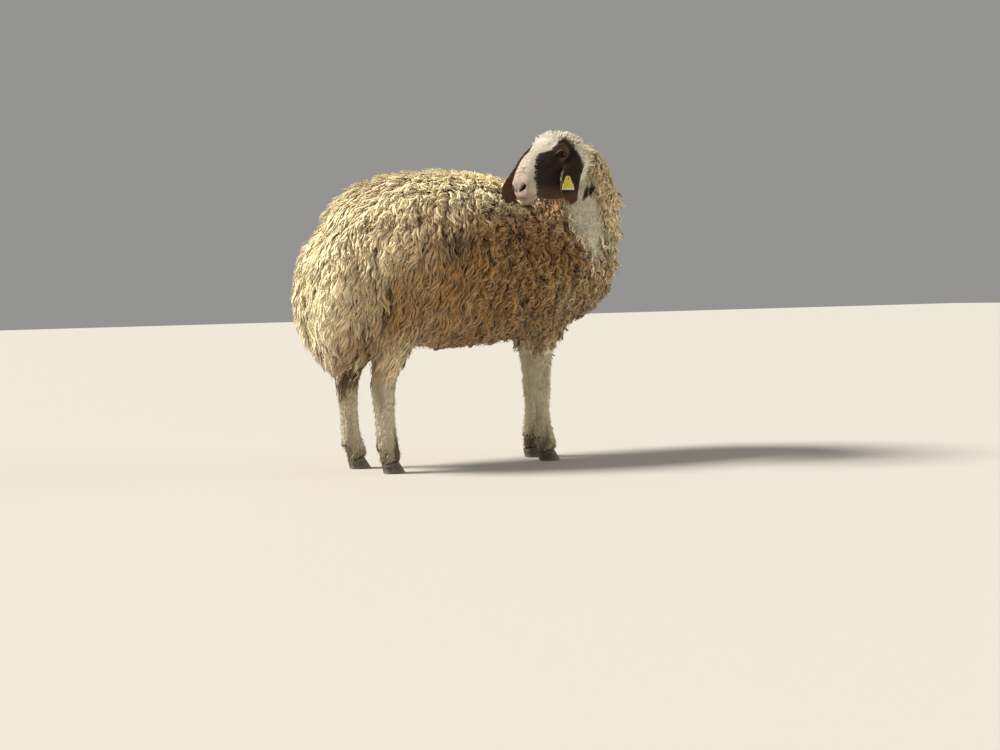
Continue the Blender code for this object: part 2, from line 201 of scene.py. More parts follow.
def zoneMean(points, zones, spread, least):  # each zone's values, weighed by how near to it a point lies
    total, weight = 0.0, np.full(len(points), least)
    for centre, reach, *values in zones.values():
        w = np.exp(-((points - np.array(centre)) ** 2).sum(1) / (spread * reach) ** 2)
        total = total + w[:, None] * np.array(values)
        weight += w
    return (total / weight[:, None]).T


# the animal's own places, in metres
bodyNames = ("trunk", "neck", "tail")
legNames = tuple(f"{end}_leg_{side}" for end in ("front", "hind") for side in ("left", "right"))
earNames = ("ear_left", "ear_right")
fleshNodes = bodyNames + ("head",) + legNames + earNames

headPose = {"turn": -162.0, "scale": 0.97}
eyeShape = {"centre": (0.0740, 0.0520, -0.050), "radius": 0.0135, "axis": (0.36, 0.92, 0.12), "tilt": 10.0,
            "wide": 1.10, "tall": 0.58, "lid": 0.0020, "sunk": 0.0035, "thin": 0.0011, "fold": 0.0012}
headTurn = np.array(Matrix.Rotation(math.radians(headPose["turn"]), 3, "Z"))
poll = np.array(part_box("eye_left")).mean(0) - np.array(eyeShape["centre"]) * headPose["scale"] @ headTurn.T


def toHead(points):  # x to the nose, y to the left ear, z up, from the poll
    return (points - poll) @ headTurn / headPose["scale"]


def fromHead(points):
    return np.asarray(points, dtype=float) * headPose["scale"] @ headTurn.T + poll


def mirrored(h):  # the right half of the head laid on the left one
    return np.where([False, True, False], np.abs(h), h)


# the short-haired strip from behind the ear down the throat: points and half widths
throat = {
    "line": [(0.228, -0.206, 0.764), (0.247, -0.175, 0.728), (0.243, -0.146, 0.694), (0.295, -0.123, 0.655),
             (0.325, -0.096, 0.614), (0.331, -0.095, 0.570), (0.318, -0.103, 0.544)],
    "half": [0.022, 0.022, 0.042, 0.045, 0.037, 0.016, 0.004],
}
# the fold between the tail's lobe and the thigh
crease = {
    "line": [(-0.333, -0.092, 0.577), (-0.285, -0.110, 0.510), (-0.290, -0.100, 0.457),
             (-0.310, -0.070, 0.395), (-0.335, -0.050, 0.378)],
    "half": [0.004, 0.013, 0.014, 0.013, 0.006],
}


def stripAmount(strip, points, soft=0.012, grow=0.0):  # 1 inside a winding strip, 0 outside it
    line, half = np.array(strip["line"]), np.array(strip["half"]) + grow
    best = np.full(len(points), -1.0)
    for a, b, ra, rb in zip(line, line[1:], half, half[1:]):
        along = b - a
        t = np.clip((points - a) @ along / (along @ along), 0, 1)
        away = np.linalg.norm(points - a - t[:, None] * along, axis=1)
        best = most(best, (ra + (rb - ra) * t) - away)
    return step(-soft, soft, best)


def blob(points, centre, radii, soft=0.5):  # 1 at the centre, falling to 0 at the ellipsoid's rim
    return 1 - step(1 - soft, 1, np.linalg.norm((points - np.array(centre)) / np.array(radii), axis=1))


def neckSpot(points):  # the small brown patch beside the strip
    return most(blob(points, (0.255, -0.174, 0.722), (0.0085, 0.024, 0.026), 0.3),
                blob(points, (0.272, -0.177, 0.732), (0.0130, 0.024, 0.020), 0.3))


# which of the frame's nodes a point lies on
fleshPoints, fleshFaces, fleshOwner = [], [], []
for k, name in enumerate(fleshNodes):
    base, mesh = len(fleshPoints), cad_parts[name].data
    fleshPoints += [tuple(v.co) for v in mesh.vertices]
    fleshFaces += [[base + v for v in polygon.vertices] for polygon in mesh.polygons]
    fleshOwner += [k] * len(mesh.polygons)
fleshTree = BVHTree.FromPolygons(fleshPoints, fleshFaces)


def homeOf(points):
    return np.array(fleshOwner)[nearest(fleshTree, points)[1]]


def isOn(home, *names):
    return np.isin(home, [fleshNodes.index(n) for n in names])


# how much wool grows at a point, and how deep the coat is there
coatDepths = {"fleece": 0.022, "throat": 0.007, "crown": 0.008, "face": 0.0008, "ear": 0.0014,
              "leg": 0.0016}
woolLine = {"hind": 0.275, "hindSoft": 0.048, "front": 0.342, "frontSoft": 0.012, "ragged": 0.016}


def woolAmount(points, home):
    x, _, z = points.T
    height = z + woolLine["ragged"] * lumps(points, 0.030, 61)
    wool = isOn(home, *bodyNames) * (1 - stripAmount(throat, points)) * (1 - neckSpot(points))
    foreleg = step(0.13, 0.16, x) * step(0.335, 0.30, x)
    front, soft = woolLine["front"], woolLine["frontSoft"]
    wool = wool * (1 - foreleg * step(front + soft, front - soft, height))
    rise = step(woolLine["hind"], woolLine["hind"] + woolLine["hindSoft"], height)
    return np.where(isOn(home, "tail"), wool, wool * rise)


def coatDepth(points, home):
    short = np.full(len(points), coatDepths["face"])
    short[isOn(home, *earNames)] = coatDepths["ear"]
    short[isOn(home, *bodyNames, *legNames)] = coatDepths["leg"]
    bare = most(stripAmount(throat, points, 0.02, 0.01), neckSpot(points)) * isOn(home, "trunk", "neck")
    short += bare * (coatDepths["throat"] - coatDepths["leg"])
    x, _, z = toHead(points).T
    short += isOn(home, "head") * step(-0.035, 0.0, z) * step(0.085, 0.05, x) * coatDepths["crown"]
    return short + (coatDepths["fleece"] - short) * woolAmount(points, home)


# the folds of the face, in the head's own axes
noseAside = 0.0075  # the nose is carried a little to its right


def dent(h, fold, widen=1.0, power=2.0):  # how much a point lies in a fold, on either side
    start, end, width, _, out = fold
    moved = h.copy()
    moved[:, 1] += noseAside * step(0.125, 0.165, h[:, 0])
    m = mirrored(moved) - start
    along = end - start
    t = np.clip(m @ along / (along @ along), 0, 1)
    away = m - t[:, None] * along
    away -= 0.75 * (away @ out)[:, None] * out  # a fold reaches further into the head than across it
    return np.exp(-(np.linalg.norm(away, axis=1) / (width * widen)) ** power)


def seated(start, end, width, deep):  # a fold with its ends on the head's surface, and which way that faces
    a, n, _, _ = fleshTree.find_nearest(fromHead(start))
    b = fleshTree.find_nearest(fromHead(end))[0]
    return toHead(np.array(a)), toHead(np.array(b)), width, deep, np.array(n) @ headTurn


faceFolds = [seated(*fold) for fold in (
    # start, end, half width, how deep (negative stands out)
    ((0.182, 0.0080, -0.1445), (0.180, 0.0190, -0.1380), 0.0030, 0.0060),  # nostril slit
    ((0.180, 0.0195, -0.1375), (0.177, 0.0245, -0.1320), 0.0056, 0.0090),  # nostril wing
    ((0.180, 0.0260, -0.121), (0.172, 0.0330, -0.128), 0.0050, -0.0018),  # rim above it
    ((0.186, 0.0, -0.128), (0.182, 0.0, -0.166), 0.0018, 0.0020),  # cleft of the nose and lip
    ((0.182, 0.0, -0.166), (0.172, 0.0170, -0.165), 0.0022, 0.0042),  # mouth, front
    ((0.172, 0.0170, -0.165), (0.150, 0.0310, -0.156), 0.0022, 0.0040),  # mouth, side
    ((0.150, 0.0310, -0.156), (0.134, 0.0340, -0.148), 0.0030, 0.0018),  # corner of the mouth
    ((0.156, 0.0300, -0.144), (0.172, 0.0220, -0.153), 0.0045, -0.0012),  # upper lip
    ((0.094, 0.0560, -0.064), (0.120, 0.0400, -0.084), 0.0035, 0.0014),  # tear groove
    ((0.081, 0.0590, -0.074), (0.100, 0.0500, -0.083), 0.0045, -0.0014),  # fold under the eye
    ((0.057, 0.0565, -0.026), (0.090, 0.0490, -0.028), 0.0060, -0.0020),  # brow
    ((0.158, 0.0140, -0.090), (0.160, 0.0, -0.088), 0.0022, 0.0016),  # wrinkles over the nose
    ((0.165, 0.0140, -0.099), (0.168, 0.0, -0.097), 0.0022, 0.0016),
    ((0.172, 0.0140, -0.109), (0.176, 0.0, -0.107), 0.0022, 0.0009),
)]
nostrilFolds, mouthFolds = faceFolds[:2], faceFolds[4:7]
# the left ear's front edge, painted pale: a painted highlight
earEdgeHighlight = seated((0.092, 0.068, -0.092), (0.105, 0.071, -0.136), 0.0050, 0.0)


# the eyes' openings
def eyeAxes(side):  # outward, along the slit, and up, in the head's own axes
    out = unit(np.array(eyeShape["axis"]) * [1, side, 1])
    tilt = math.radians(eyeShape["tilt"])
    along = np.array([math.cos(tilt), 0.0, -math.sin(tilt)])
    along = unit(along - out * (along @ out))
    up = np.cross(along, out)
    return out, along, up * np.sign(up[2])


def eyeAway(h):  # how far a point lies from the nearer eye's middle
    return np.linalg.norm(mirrored(h) - np.array(eyeShape["centre"]), axis=1)


def lidReach(h, side):  # how far a point lies from the slit's middle: 1 at the lids' edge
    out, along, up = eyeAxes(side)
    v = h - np.array(eyeShape["centre"]) * [1, side, 1]
    far = np.linalg.norm(v, axis=1)
    w = v / np.maximum(far, 1e-9)[:, None]
    a, b = (np.arcsin(np.clip(w @ axis, -1, 1)) for axis in (along, up))
    tall = np.where(b > 0, eyeShape["tall"] * 1.05, eyeShape["tall"] * 0.85)
    across = (a / eyeShape["wide"]) ** 2
    e = np.sqrt(across * 0.9 + (b / tall) ** 2 / (0.35 + 0.65 * np.clip(1 - across, 0, 1)))
    return e, far, w, b, step(0.15, 0.40, w @ out) * (far < 0.030)


# the markings, shared by skin and coat
markings = {
    # half width of the white blaze, from the crown down to the nose
    "blazeAt": [0.030, 0.051, 0.070, 0.089, 0.110, 0.127, 0.137, 0.151, 0.158],
    "blazeHalf": [0.056, 0.050, 0.046, 0.042, 0.033, 0.025, 0.024, 0.031, 0.035],
    "muzzleFrom": 0.160, "cheekFrom": 0.026,
    # brown: the hock patch, partly painted shadow; dust: painted shade on the face; crease: mud and painted
    # shade
    "brown": 0.85, "dust": 0.16, "nosePink": 0.72, "crease": 0.92,
}


def marksAt(points, home):
    h = toHead(points)
    folded = mirrored(h)
    (x, y, z), height = h.T, points[:, 2]
    rough = lumps(points, 0.006, 3) * 0.0022 + lumps(points, 0.014, 4) * 0.002
    onHead, onEar = isOn(home, "head"), isOn(home, *earNames)
    onLeg, onBody = isOn(home, *legNames), isOn(home, *bodyNames)
    blaze = np.interp(x, markings["blazeAt"], markings["blazeHalf"])
    blaze *= most(step(-0.124, -0.104, z), step(0.145, 0.15, x))
    blaze *= most(step(-0.085, -0.060, z), step(0.10, 0.13, x))
    cheek = step(-0.0012, 0.0012, folded[:, 1] - blaze + rough)
    cheek *= step(-0.0015, 0.0015, markings["muzzleFrom"] - x + rough - 0.45 * most(-0.118 - z, 0))
    cheek *= step(-0.002, 0.002, x - markings["cheekFrom"] + rough)
    # painted highlight: the left ear's front edge is kept free of brown, so it shows pale
    edge = 0.9 * dent(h, earEdgeHighlight) * (y > 0)
    behind = step(0.034, 0.024, x + rough) * step(-0.078, -0.062, z) * (y > 0)
    brown = np.where(onEar, 1.0 - most(edge, behind), np.where(onHead, cheek, 0.0))
    # the brown patch over the left hind hock: partly brown hair, partly painted shadow of the wool above it
    hockAndShadow = blob(points, (-0.300, 0.158, 0.268), (0.08, 0.08, 0.070)) * ~onHead  # above the left hind leg
    brown = most(brown, neckSpot(points) * onBody, markings["brown"] * hockAndShadow)

    warm = most(blob(folded, (0.072, 0.058, -0.048), (0.034, 0.030, 0.034), 0.7) * 0.9,
                blob(folded, (0.050, 0.053, -0.008), (0.020, 0.016, 0.014), 0.8),
                step(-0.120, -0.150, z) * 0.55 * onHead)
    warm = np.where(onEar, np.where(y < 0, 0.85, step(-0.135, -0.165, z) * 0.7), warm)
    warm = most(warm, 0.5 * hockAndShadow)

    # black at the ear's root behind the eye: partly dark hair, partly painted shadow where the ear overhangs
    blackAndShade = blob(folded, (0.040, 0.064, -0.044), (0.016, 0.028, 0.022), 0.6) * 0.9
    for side in (1, -1):
        e, _, _, _, front = lidReach(h, side)
        blackAndShade = most(blackAndShade, step(1.42, 1.12, e) * front)
    # painted shade: black inside the nostrils and along the mouth's line, in the folds' shade
    blackAndShade = most(blackAndShade, *(dent(h, fold, 1.25, 4.0) for fold in nostrilFolds))
    blackAndShade = most(blackAndShade, *(0.8 * dent(h, fold, 0.6) for fold in mouthFolds))
    # painted shade: the face is greyed from the eyes to the nose
    dust = markings["dust"] * step(0.05, 0.11, x) * (1 + 0.6 * lumps(points, 0.007, 13))
    blackAndShade = most(blackAndShade, dust) * (onHead | onEar)

    pink = most(step(0.162, 0.182, x), step(0.14, 0.16, x) * step(-0.135, -0.155, z))
    # the face's front is tinted 24% pink: partly pink skin, partly painted shade that dulls the blaze
    pink = most(pink * onHead * markings["nosePink"], 0.24 * step(0.07, 0.12, x) * onHead,
                blob(folded, (0.150, 0.0, -0.185), (0.05, 0.03, 0.03)) * 0.5 * onHead,
                blob(points, (-0.25, 0.0, 0.77), (0.12, 0.10, 0.06), 0.9) * 0.40 * onBody)

    hind = points[:, 0] < 0
    low = step(0.15, 0.04, height) * 0.30 + step(0.070, 0.040, height) * 0.16 + 0.06 + 0.06 * hind
    specks = most(lumps(points * [1, 1, 0.4], 0.020, 8), 0) * 0.7
    specks += most(lumps(points, 0.008, 9) - 0.3, 0) * 0.5
    legMud = np.minimum(low + specks * (0.5 + low + step(0.075, 0.045, height)), 0.95)
    # the crease gets mud and painted shade, darkening the fold between the tail's lobe and the thigh
    mudAndShade = most(np.where(onLeg, legMud, 0.0),
               blob(points, (-0.105, -0.125, 0.625), (0.070, 0.06, 0.060), 0.9) * onBody,
               stripAmount(crease, points) * markings["crease"] * onBody,
               blob(folded, (0.091, 0.027, -0.018), (0.008, 0.008, 0.008), 0.8) * 0.5 * onHead)

    legTan = step(0.22, 0.30, height) * 0.3 + hind * (0.22 + 0.2 * lumps(points, 0.03, 14))
    tanAndShade = most(tanAndShadeAt(points) * onBody, onLeg * legTan)
    white = stripAmount(throat, points, 0.008) * onBody
    return columns(brown, blackAndShade, warm), columns(pink, mudAndShade, tanAndShade * (1 - white)), white


# how stained the fleece is, place by place, partly painted shade: zones on the shaded near side are
# browner, those on the lit rump edge and back top paler; centre, reach, stain
fleeceStainsAndShade = {
    "rumpEdge": ((-0.44, 0.05, 0.56), 0.10, 0.02),
    "rumpFar": ((-0.36, 0.20, 0.58), 0.15, 0.08),
    "rumpTop": ((-0.30, 0.05, 0.72), 0.10, 0.08),
    "tail": ((-0.46, 0.10, 0.45), 0.11, 0.06),
    "rumpNear": ((-0.30, -0.10, 0.60), 0.10, 0.42),
    "thighNear": ((-0.25, -0.11, 0.47), 0.09, 1.0),
    "thighHigh": ((-0.245, -0.115, 0.53), 0.055, 0.95),
    "hindWool": ((-0.24, -0.12, 0.33), 0.060, 0.38),
    "tailNear": ((-0.36, -0.08, 0.46), 0.05, 0.30),
    "tailEnd": ((-0.37, -0.03, 0.34), 0.06, 0.85),
    "backTop": ((-0.15, 0.05, 0.79), 0.11, -0.15),
    "backFront": ((0.12, 0.03, 0.76), 0.10, -0.10),
    "backSide": ((-0.12, -0.09, 0.70), 0.06, 0.50),
    "flank": ((-0.10, -0.14, 0.56), 0.11, 0.97),
    "side": ((0.06, -0.14, 0.52), 0.12, 1.0),
    "shoulder": ((0.17, -0.12, 0.60), 0.10, 1.0),
    "bulge": ((0.18, -0.09, 0.68), 0.06, 0.92),
    "chest": ((0.28, -0.10, 0.50), 0.08, 0.80),
    "brisket": ((0.30, -0.03, 0.40), 0.08, 0.80),
    "belly": ((0.0, -0.07, 0.36), 0.12, 0.92),
    "mane": ((0.39, -0.02, 0.66), 0.08, 0.08),
    "maneTop": ((0.30, -0.15, 0.77), 0.06, 0.50),
    "maneNear": ((0.36, -0.09, 0.60), 0.04, 0.70),
    "farSide": ((0.0, 0.28, 0.50), 0.22, 0.55),
}


def tanAndShadeAt(points):
    stainAndShade = zoneMean(points, fleeceStainsAndShade, 0.9, 1e-6)[0]
    return np.clip(stainAndShade + lumps(points, 0.05, 11) * 0.12 + lumps(points, 0.02, 12) * 0.06, 0, 1)


# materials
class Nodes:  # short ways of adding nodes to a material or a group
    def __init__(self, tree):
        self.tree = tree

    def put(self, value, socket):
        if isinstance(value, bpy.types.NodeSocket):
            self.tree.links.new(value, socket)
        elif value is not None:
            socket.default_value = value

    def add(self, kind, inputs=None, **settings):
        made = self.tree.nodes.new("ShaderNode" + kind)
        for key, value in settings.items():
            setattr(made, key, value)
        for key, value in (inputs or {}).items():
            self.put(value, made.inputs[key])
        return made.outputs

    def mix(self, factor, a, b, blend="MIX"):
        return self.add("Mix", {0: factor, 6: a, 7: b}, data_type="RGBA", blend_type=blend)[2]

    def maths(self, operation, a, b=0.0, c=0.0):
        return self.add("Math", {0: a, 1: b, 2: c}, operation=operation)[0]

    def scaled(self, value, by, plus):
        return self.maths("MULTIPLY_ADD", value, by, plus)

    def noise(self, place, scale, detail, rough=0.5):
        grain = {"Vector": place, "Scale": scale, "Detail": detail, "Roughness": rough}
        return self.add("TexNoise", grain)["Fac"]

    def span(self, value, low, high, first=0.0, last=1.0, kind="LINEAR"):  # from low to high, first to last
        ends = {"Value": value, "From Min": low, "From Max": high, "To Min": first, "To Max": last}
        return self.add("MapRange", ends, interpolation_type=kind)[0]

    def stretched(self, place, scale):
        return self.add("Mapping", {"Vector": place, "Scale": scale})[0]

    def read(self, marks):
        return self.add("Attribute", attribute_name=marks)["Color"]

    def split(self, colour):
        return self.add("SeparateColor", {0: colour})

    def place(self):
        return self.add("TexCoord")["Object"]

    def height(self, place):
        return self.add("SeparateXYZ", {0: place})[2]

    def shaded(self, colour, tone, *others):  # a colour made darker or lighter by several tones
        for other in others:
            tone = self.maths("MULTIPLY", tone, other)
        return self.mix(1.0, colour, self.add("CombineColor", {0: tone, 1: tone, 2: tone})[0], "MULTIPLY")

    def finish(self, colour, rough, bump=None, plain=None):  # bump: its height, strength and distance
        shader = self.tree.nodes["Principled BSDF"].inputs
        self.put(colour, shader["Base Color"])
        self.put(rough, shader["Roughness"])
        if bump:
            raised = self.add("Bump", dict(zip(("Height", "Strength", "Distance"), bump)))
            self.put(raised[0], shader["Normal"])
        for name, value in (plain or {}).items():
            shader[name].default_value = value


def newMaterial(name):
    material = bpy.data.materials.new(name)
    material.use_nodes = True
    return material, Nodes(material.node_tree)


coatColours = {
    "White hair": (0.80, 0.745, 0.60, 1),
    "Cream wool": (0.93, 0.81, 0.52, 1),
    "Stained wool": (0.335, 0.165, 0.038, 1),
    "Brown hair": (0.026, 0.0115, 0.0065, 1),
    "Warm hair": (0.175, 0.078, 0.040, 1),
    # Black hair also paints shade in the nostrils, along the mouth and at the ear's root
    "Black hair and shade": (0.006, 0.004, 0.003, 1),
    "Pink skin": (0.47, 0.30, 0.245, 1),
    # Mud also paints shade in the crease by the tail
    "Mud and shade": (0.120, 0.078, 0.036, 1),
}


def makeCoatGroup():  # turns the marks into a colour; used by the skin and by every coat piece
    tree = bpy.data.node_groups.new("sheepColour", "ShaderNodeTree")
    nodes = Nodes(tree)
    for name, kind in (("Marks A", "Color"), ("Marks B", "Color"), ("Wool", "Float")):
        tree.interface.new_socket(name=name, in_out="INPUT", socket_type="NodeSocket" + kind)
    for name, colour in coatColours.items():
        socket = tree.interface.new_socket(name=name, in_out="INPUT", socket_type="NodeSocketColor")
        socket.default_value = colour
    tree.interface.new_socket(name="Color", in_out="OUTPUT", socket_type="NodeSocketColor")
    into, out = tree.nodes.new("NodeGroupInput").outputs, tree.nodes.new("NodeGroupOutput").inputs
    brown, blackAndShade, warm = nodes.split(into["Marks A"])
    pink, mudAndShade, stainAndShade = nodes.split(into["Marks B"])
    wool = nodes.mix(stainAndShade, into["Cream wool"], into["Stained wool"])
    colour = nodes.mix(into["Wool"], into["White hair"], wool)
    warmOnBrown = nodes.maths("MULTIPLY", warm, brown)
    for amount, name in ((pink, "Pink skin"), (brown, "Brown hair"), (mudAndShade, "Mud and shade"),
                         (warmOnBrown, "Warm hair"), (blackAndShade, "Black hair and shade")):
        colour = nodes.mix(amount, colour, into[name])
    nodes.put(colour, out["Color"])
    return tree


coatGroup = makeCoatGroup()


def coatColour(nodes, wool):
    marks = {"Marks A": nodes.read("marksA"), "Marks B": nodes.read("marksB"), "Wool": wool}
    return nodes.add("Group", marks, node_tree=coatGroup)["Color"]


def hairMaterial():  # short flat hair: the skin's own finish
    material, nodes = newMaterial("shortHair")
    tinted, throatLight, _ = nodes.split(nodes.read("marksC"))  # wool's colour at its edge, the throat's hair
    place = nodes.place()
    fine, broad = nodes.noise(place, 420.0, 3.0, 0.65), nodes.noise(place, 55.0, 3.0)
    hairs = nodes.noise(nodes.stretched(place, (1.0, 1.0, 0.35)), 900.0, 2.0)
    # painted light: the throat's white hair is made up to 45% lighter
    colour = nodes.shaded(coatColour(nodes, tinted), nodes.scaled(fine, 0.55, 0.56),
                          nodes.scaled(broad, 0.36, 0.82), nodes.scaled(throatLight, 0.45, 1.0))
    raised = nodes.maths("ADD", hairs, nodes.maths("MULTIPLY", fine, 1.2))
    nodes.finish(colour, nodes.scaled(fine, 0.2, 0.62), (raised, 0.7, 0.0011),
                 {"Sheen Weight": 0.04, "Sheen Roughness": 0.5, "Specular IOR Level": 0.2})
    return material


def lockMaterial(name, wool, rootShade, streak, sheen):
    material, nodes = newMaterial(name)
    shade, along, clump = nodes.split(nodes.read("lockTone"))
    strand = nodes.add("UVMap", uv_map="strand")[0]
    fibres = nodes.noise(nodes.stretched(strand, (13.0, 1.4, 1.0)), 1.0, 3.0, 0.6)
    # painted shade: each lock is darker towards its root, deep in the coat
    rising = nodes.span(along, 0.05, 0.60, rootShade, 1.0, "SMOOTHSTEP")  # darker at the root
    colour = nodes.shaded(coatColour(nodes, wool), rising, nodes.scaled(shade, 0.26, 0.87),
                          nodes.scaled(clump, 0.30, 0.85), nodes.scaled(fibres, streak, 1 - streak / 2))
    nodes.finish(colour, nodes.scaled(fibres, 0.25, 0.6), (fibres, 0.6, 0.0012),
                 {"Sheen Weight": sheen, "Sheen Roughness": 0.45, "Specular IOR Level": 0.25})
    return material


# the skin
skinShape = {"voxel": 0.0032, "smooth": 9, "keep": 0.25, "hiddenFrom": 0.97}


def openEyes(h):  # lids round each eyeball
    radius, lid, sunk = eyeShape["radius"], eyeShape["lid"], eyeShape["sunk"]
    for side in (1, -1):
        e, far, w, b, front = lidReach(h, side)
        target = radius - sunk + (lid + sunk) * step(0.93, 1.10, e)
        target -= (lid - eyeShape["thin"]) * step(1.15, 1.65, e)
        target += eyeShape["fold"] * np.exp(-((e - 1.95) / 0.16) ** 2) * (b > 0)  # the fold over the upper lid
        hold = front * (1 - step(1.7, 2.5, e))
        natural = most(far, radius + 0.0009 * front)
        reach = natural + (target - natural) * hold
        h = np.array(eyeShape["centre"]) * [1, side, 1] + w * reach[:, None]
    return h


def subdivideNear(obj, chosen):
    mesh = bmesh.new()
    mesh.from_mesh(obj.data)
    wanted = set(np.nonzero(chosen)[0].tolist())
    edges = [e for e in mesh.edges if e.verts[0].index in wanted and e.verts[1].index in wanted]
    bmesh.ops.subdivide_edges(mesh, edges=edges, cuts=1, use_grid_fill=True)
    mesh.to_mesh(obj.data)
    mesh.free()


def makeSkin():
    skin = copyNodes("skin", fleshNodes + ("eye_left", "eye_right"))
    modify(skin, "REMESH", mode="VOXEL", voxel_size=skinShape["voxel"])
    mesh = skin.data
    points = readPoints(mesh)
    hidden = np.nonzero(woolAmount(points, homeOf(points)) > skinShape["hiddenFrom"])[0]
    skin.vertex_groups.new(name="hidden").add(hidden.tolist(), 1.0, "REPLACE")
    modify(skin, "DECIMATE", ratio=skinShape["keep"], vertex_group="hidden", vertex_group_factor=1.0)
    skin.vertex_groups.clear()
    writePoints(mesh, relax(readPoints(mesh), readEdges(mesh), skinShape["smooth"]))
    for reach in (1, 2):  # a finer face, and a finer nose and eyes still
        h = toHead(readPoints(mesh))
        x, y, z = mirrored(h).T
        nose = (x > 0.118 + 0.012 * reach) & (z > -0.22) & (y < 0.05)
        face = (x > 0.0) & (z > -0.2) & (y < 0.07) & (reach == 1)
        subdivideNear(skin, (eyeAway(h) < 0.034 - 0.006 * reach) | nose | face)
        x, y, z = mirrored(toHead(readPoints(mesh))).T
        near = (x > -0.01) & (z > -0.22) & (y < 0.09)
        writePoints(mesh, relax(readPoints(mesh), readEdges(mesh), 3 * reach, near * 0.5))

    points = readPoints(mesh)
    home = homeOf(points)
    depth = relax(coatDepth(points, home), readEdges(mesh), 8)
    h = toHead(points)
    onHead = isOn(home, "head") | (eyeAway(h) < 0.02)
    for fold in faceFolds:
        depth = depth + fold[3] * dent(h, fold) * onHead
    marksA, marksB, white = marksAt(points, home)
    x, _, z = points.T
    woolly = np.where(x < 0, step(0.205, 0.27, z), step(0.30, 0.34, z)) * (1 - white)
    tinted = most(woolAmount(points, home), 0.5 * isOn(home, *legNames),
                  woolly * isOn(home, *bodyNames, *legNames))
    points = points - evenNormals(mesh, 6) * depth[:, None]
    writePoints(mesh, np.where(isOn(home, "head")[:, None], fromHead(openEyes(toHead(points))), points))
    writeMarks(mesh, {"marksA": marksA, "marksB": marksB, "marksC": columns(tinted, white, 0 * white)})
    mesh.materials.append(hairMaterial())
    mesh.shade_smooth()
    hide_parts(*fleshNodes)
    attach(skin, "root")
    print("skin:", len(mesh.vertices), "points")
    return skin


# the coat's ground: the outer form, its flow, and an unwrap for the tufts' patches
def makeUnwrap(skin):  # a light copy of the skin with its own unwrap, looked up by place
    copy = newObject("unwrap", skin.data.copy())
    modify(copy, "DECIMATE", ratio=0.06)
    editAll(lambda: bpy.ops.uv.smart_project(angle_limit=math.radians(75), island_margin=0.004,
                                             area_weight=0.6))
    mesh = copy.data
    mesh.calc_loop_triangles()
    loops = fetch(mesh.uv_layers.active.data, "uv", 2)
    corners, vertices = (fetch(mesh.loop_triangles, key, 3, np.int64) for key in ("loops", "vertices"))
    points = readPoints(mesh)
    tree = BVHTree.FromPolygons(points.tolist(), vertices.tolist())
    bpy.data.objects.remove(copy, do_unlink=True)

    def lookUp(places):
        spots, faces = nearest(tree, places)
        a, b, c = (points[vertices[faces, k]] for k in range(3))
        v0, v1, v2 = b - a, c - a, spots - a
        d00, d01, d11 = (v0 * v0).sum(1), (v0 * v1).sum(1), (v1 * v1).sum(1)
        d20, d21 = (v2 * v0).sum(1), (v2 * v1).sum(1)
        below = np.maximum(d00 * d11 - d01 * d01, 1e-20)
        v, w = (d11 * d20 - d01 * d21) / below, (d00 * d21 - d01 * d20) / below
        uv = loops[corners[faces, 0]] * (1 - v - w)[:, None]
        uv += loops[corners[faces, 1]] * v[:, None] + loops[corners[faces, 2]] * w[:, None]
        return np.clip(uv, 0.002, 0.998)

    return lookUp


# which way the coat lies: down the sides, back along the head, wandering a little
coatFlow = {"down": (-0.14, 0.0, -1.0), "ridge": 0.35, "back": (-1.0, 0.0, -0.35), "wander": 0.30,
            "size": 0.09}


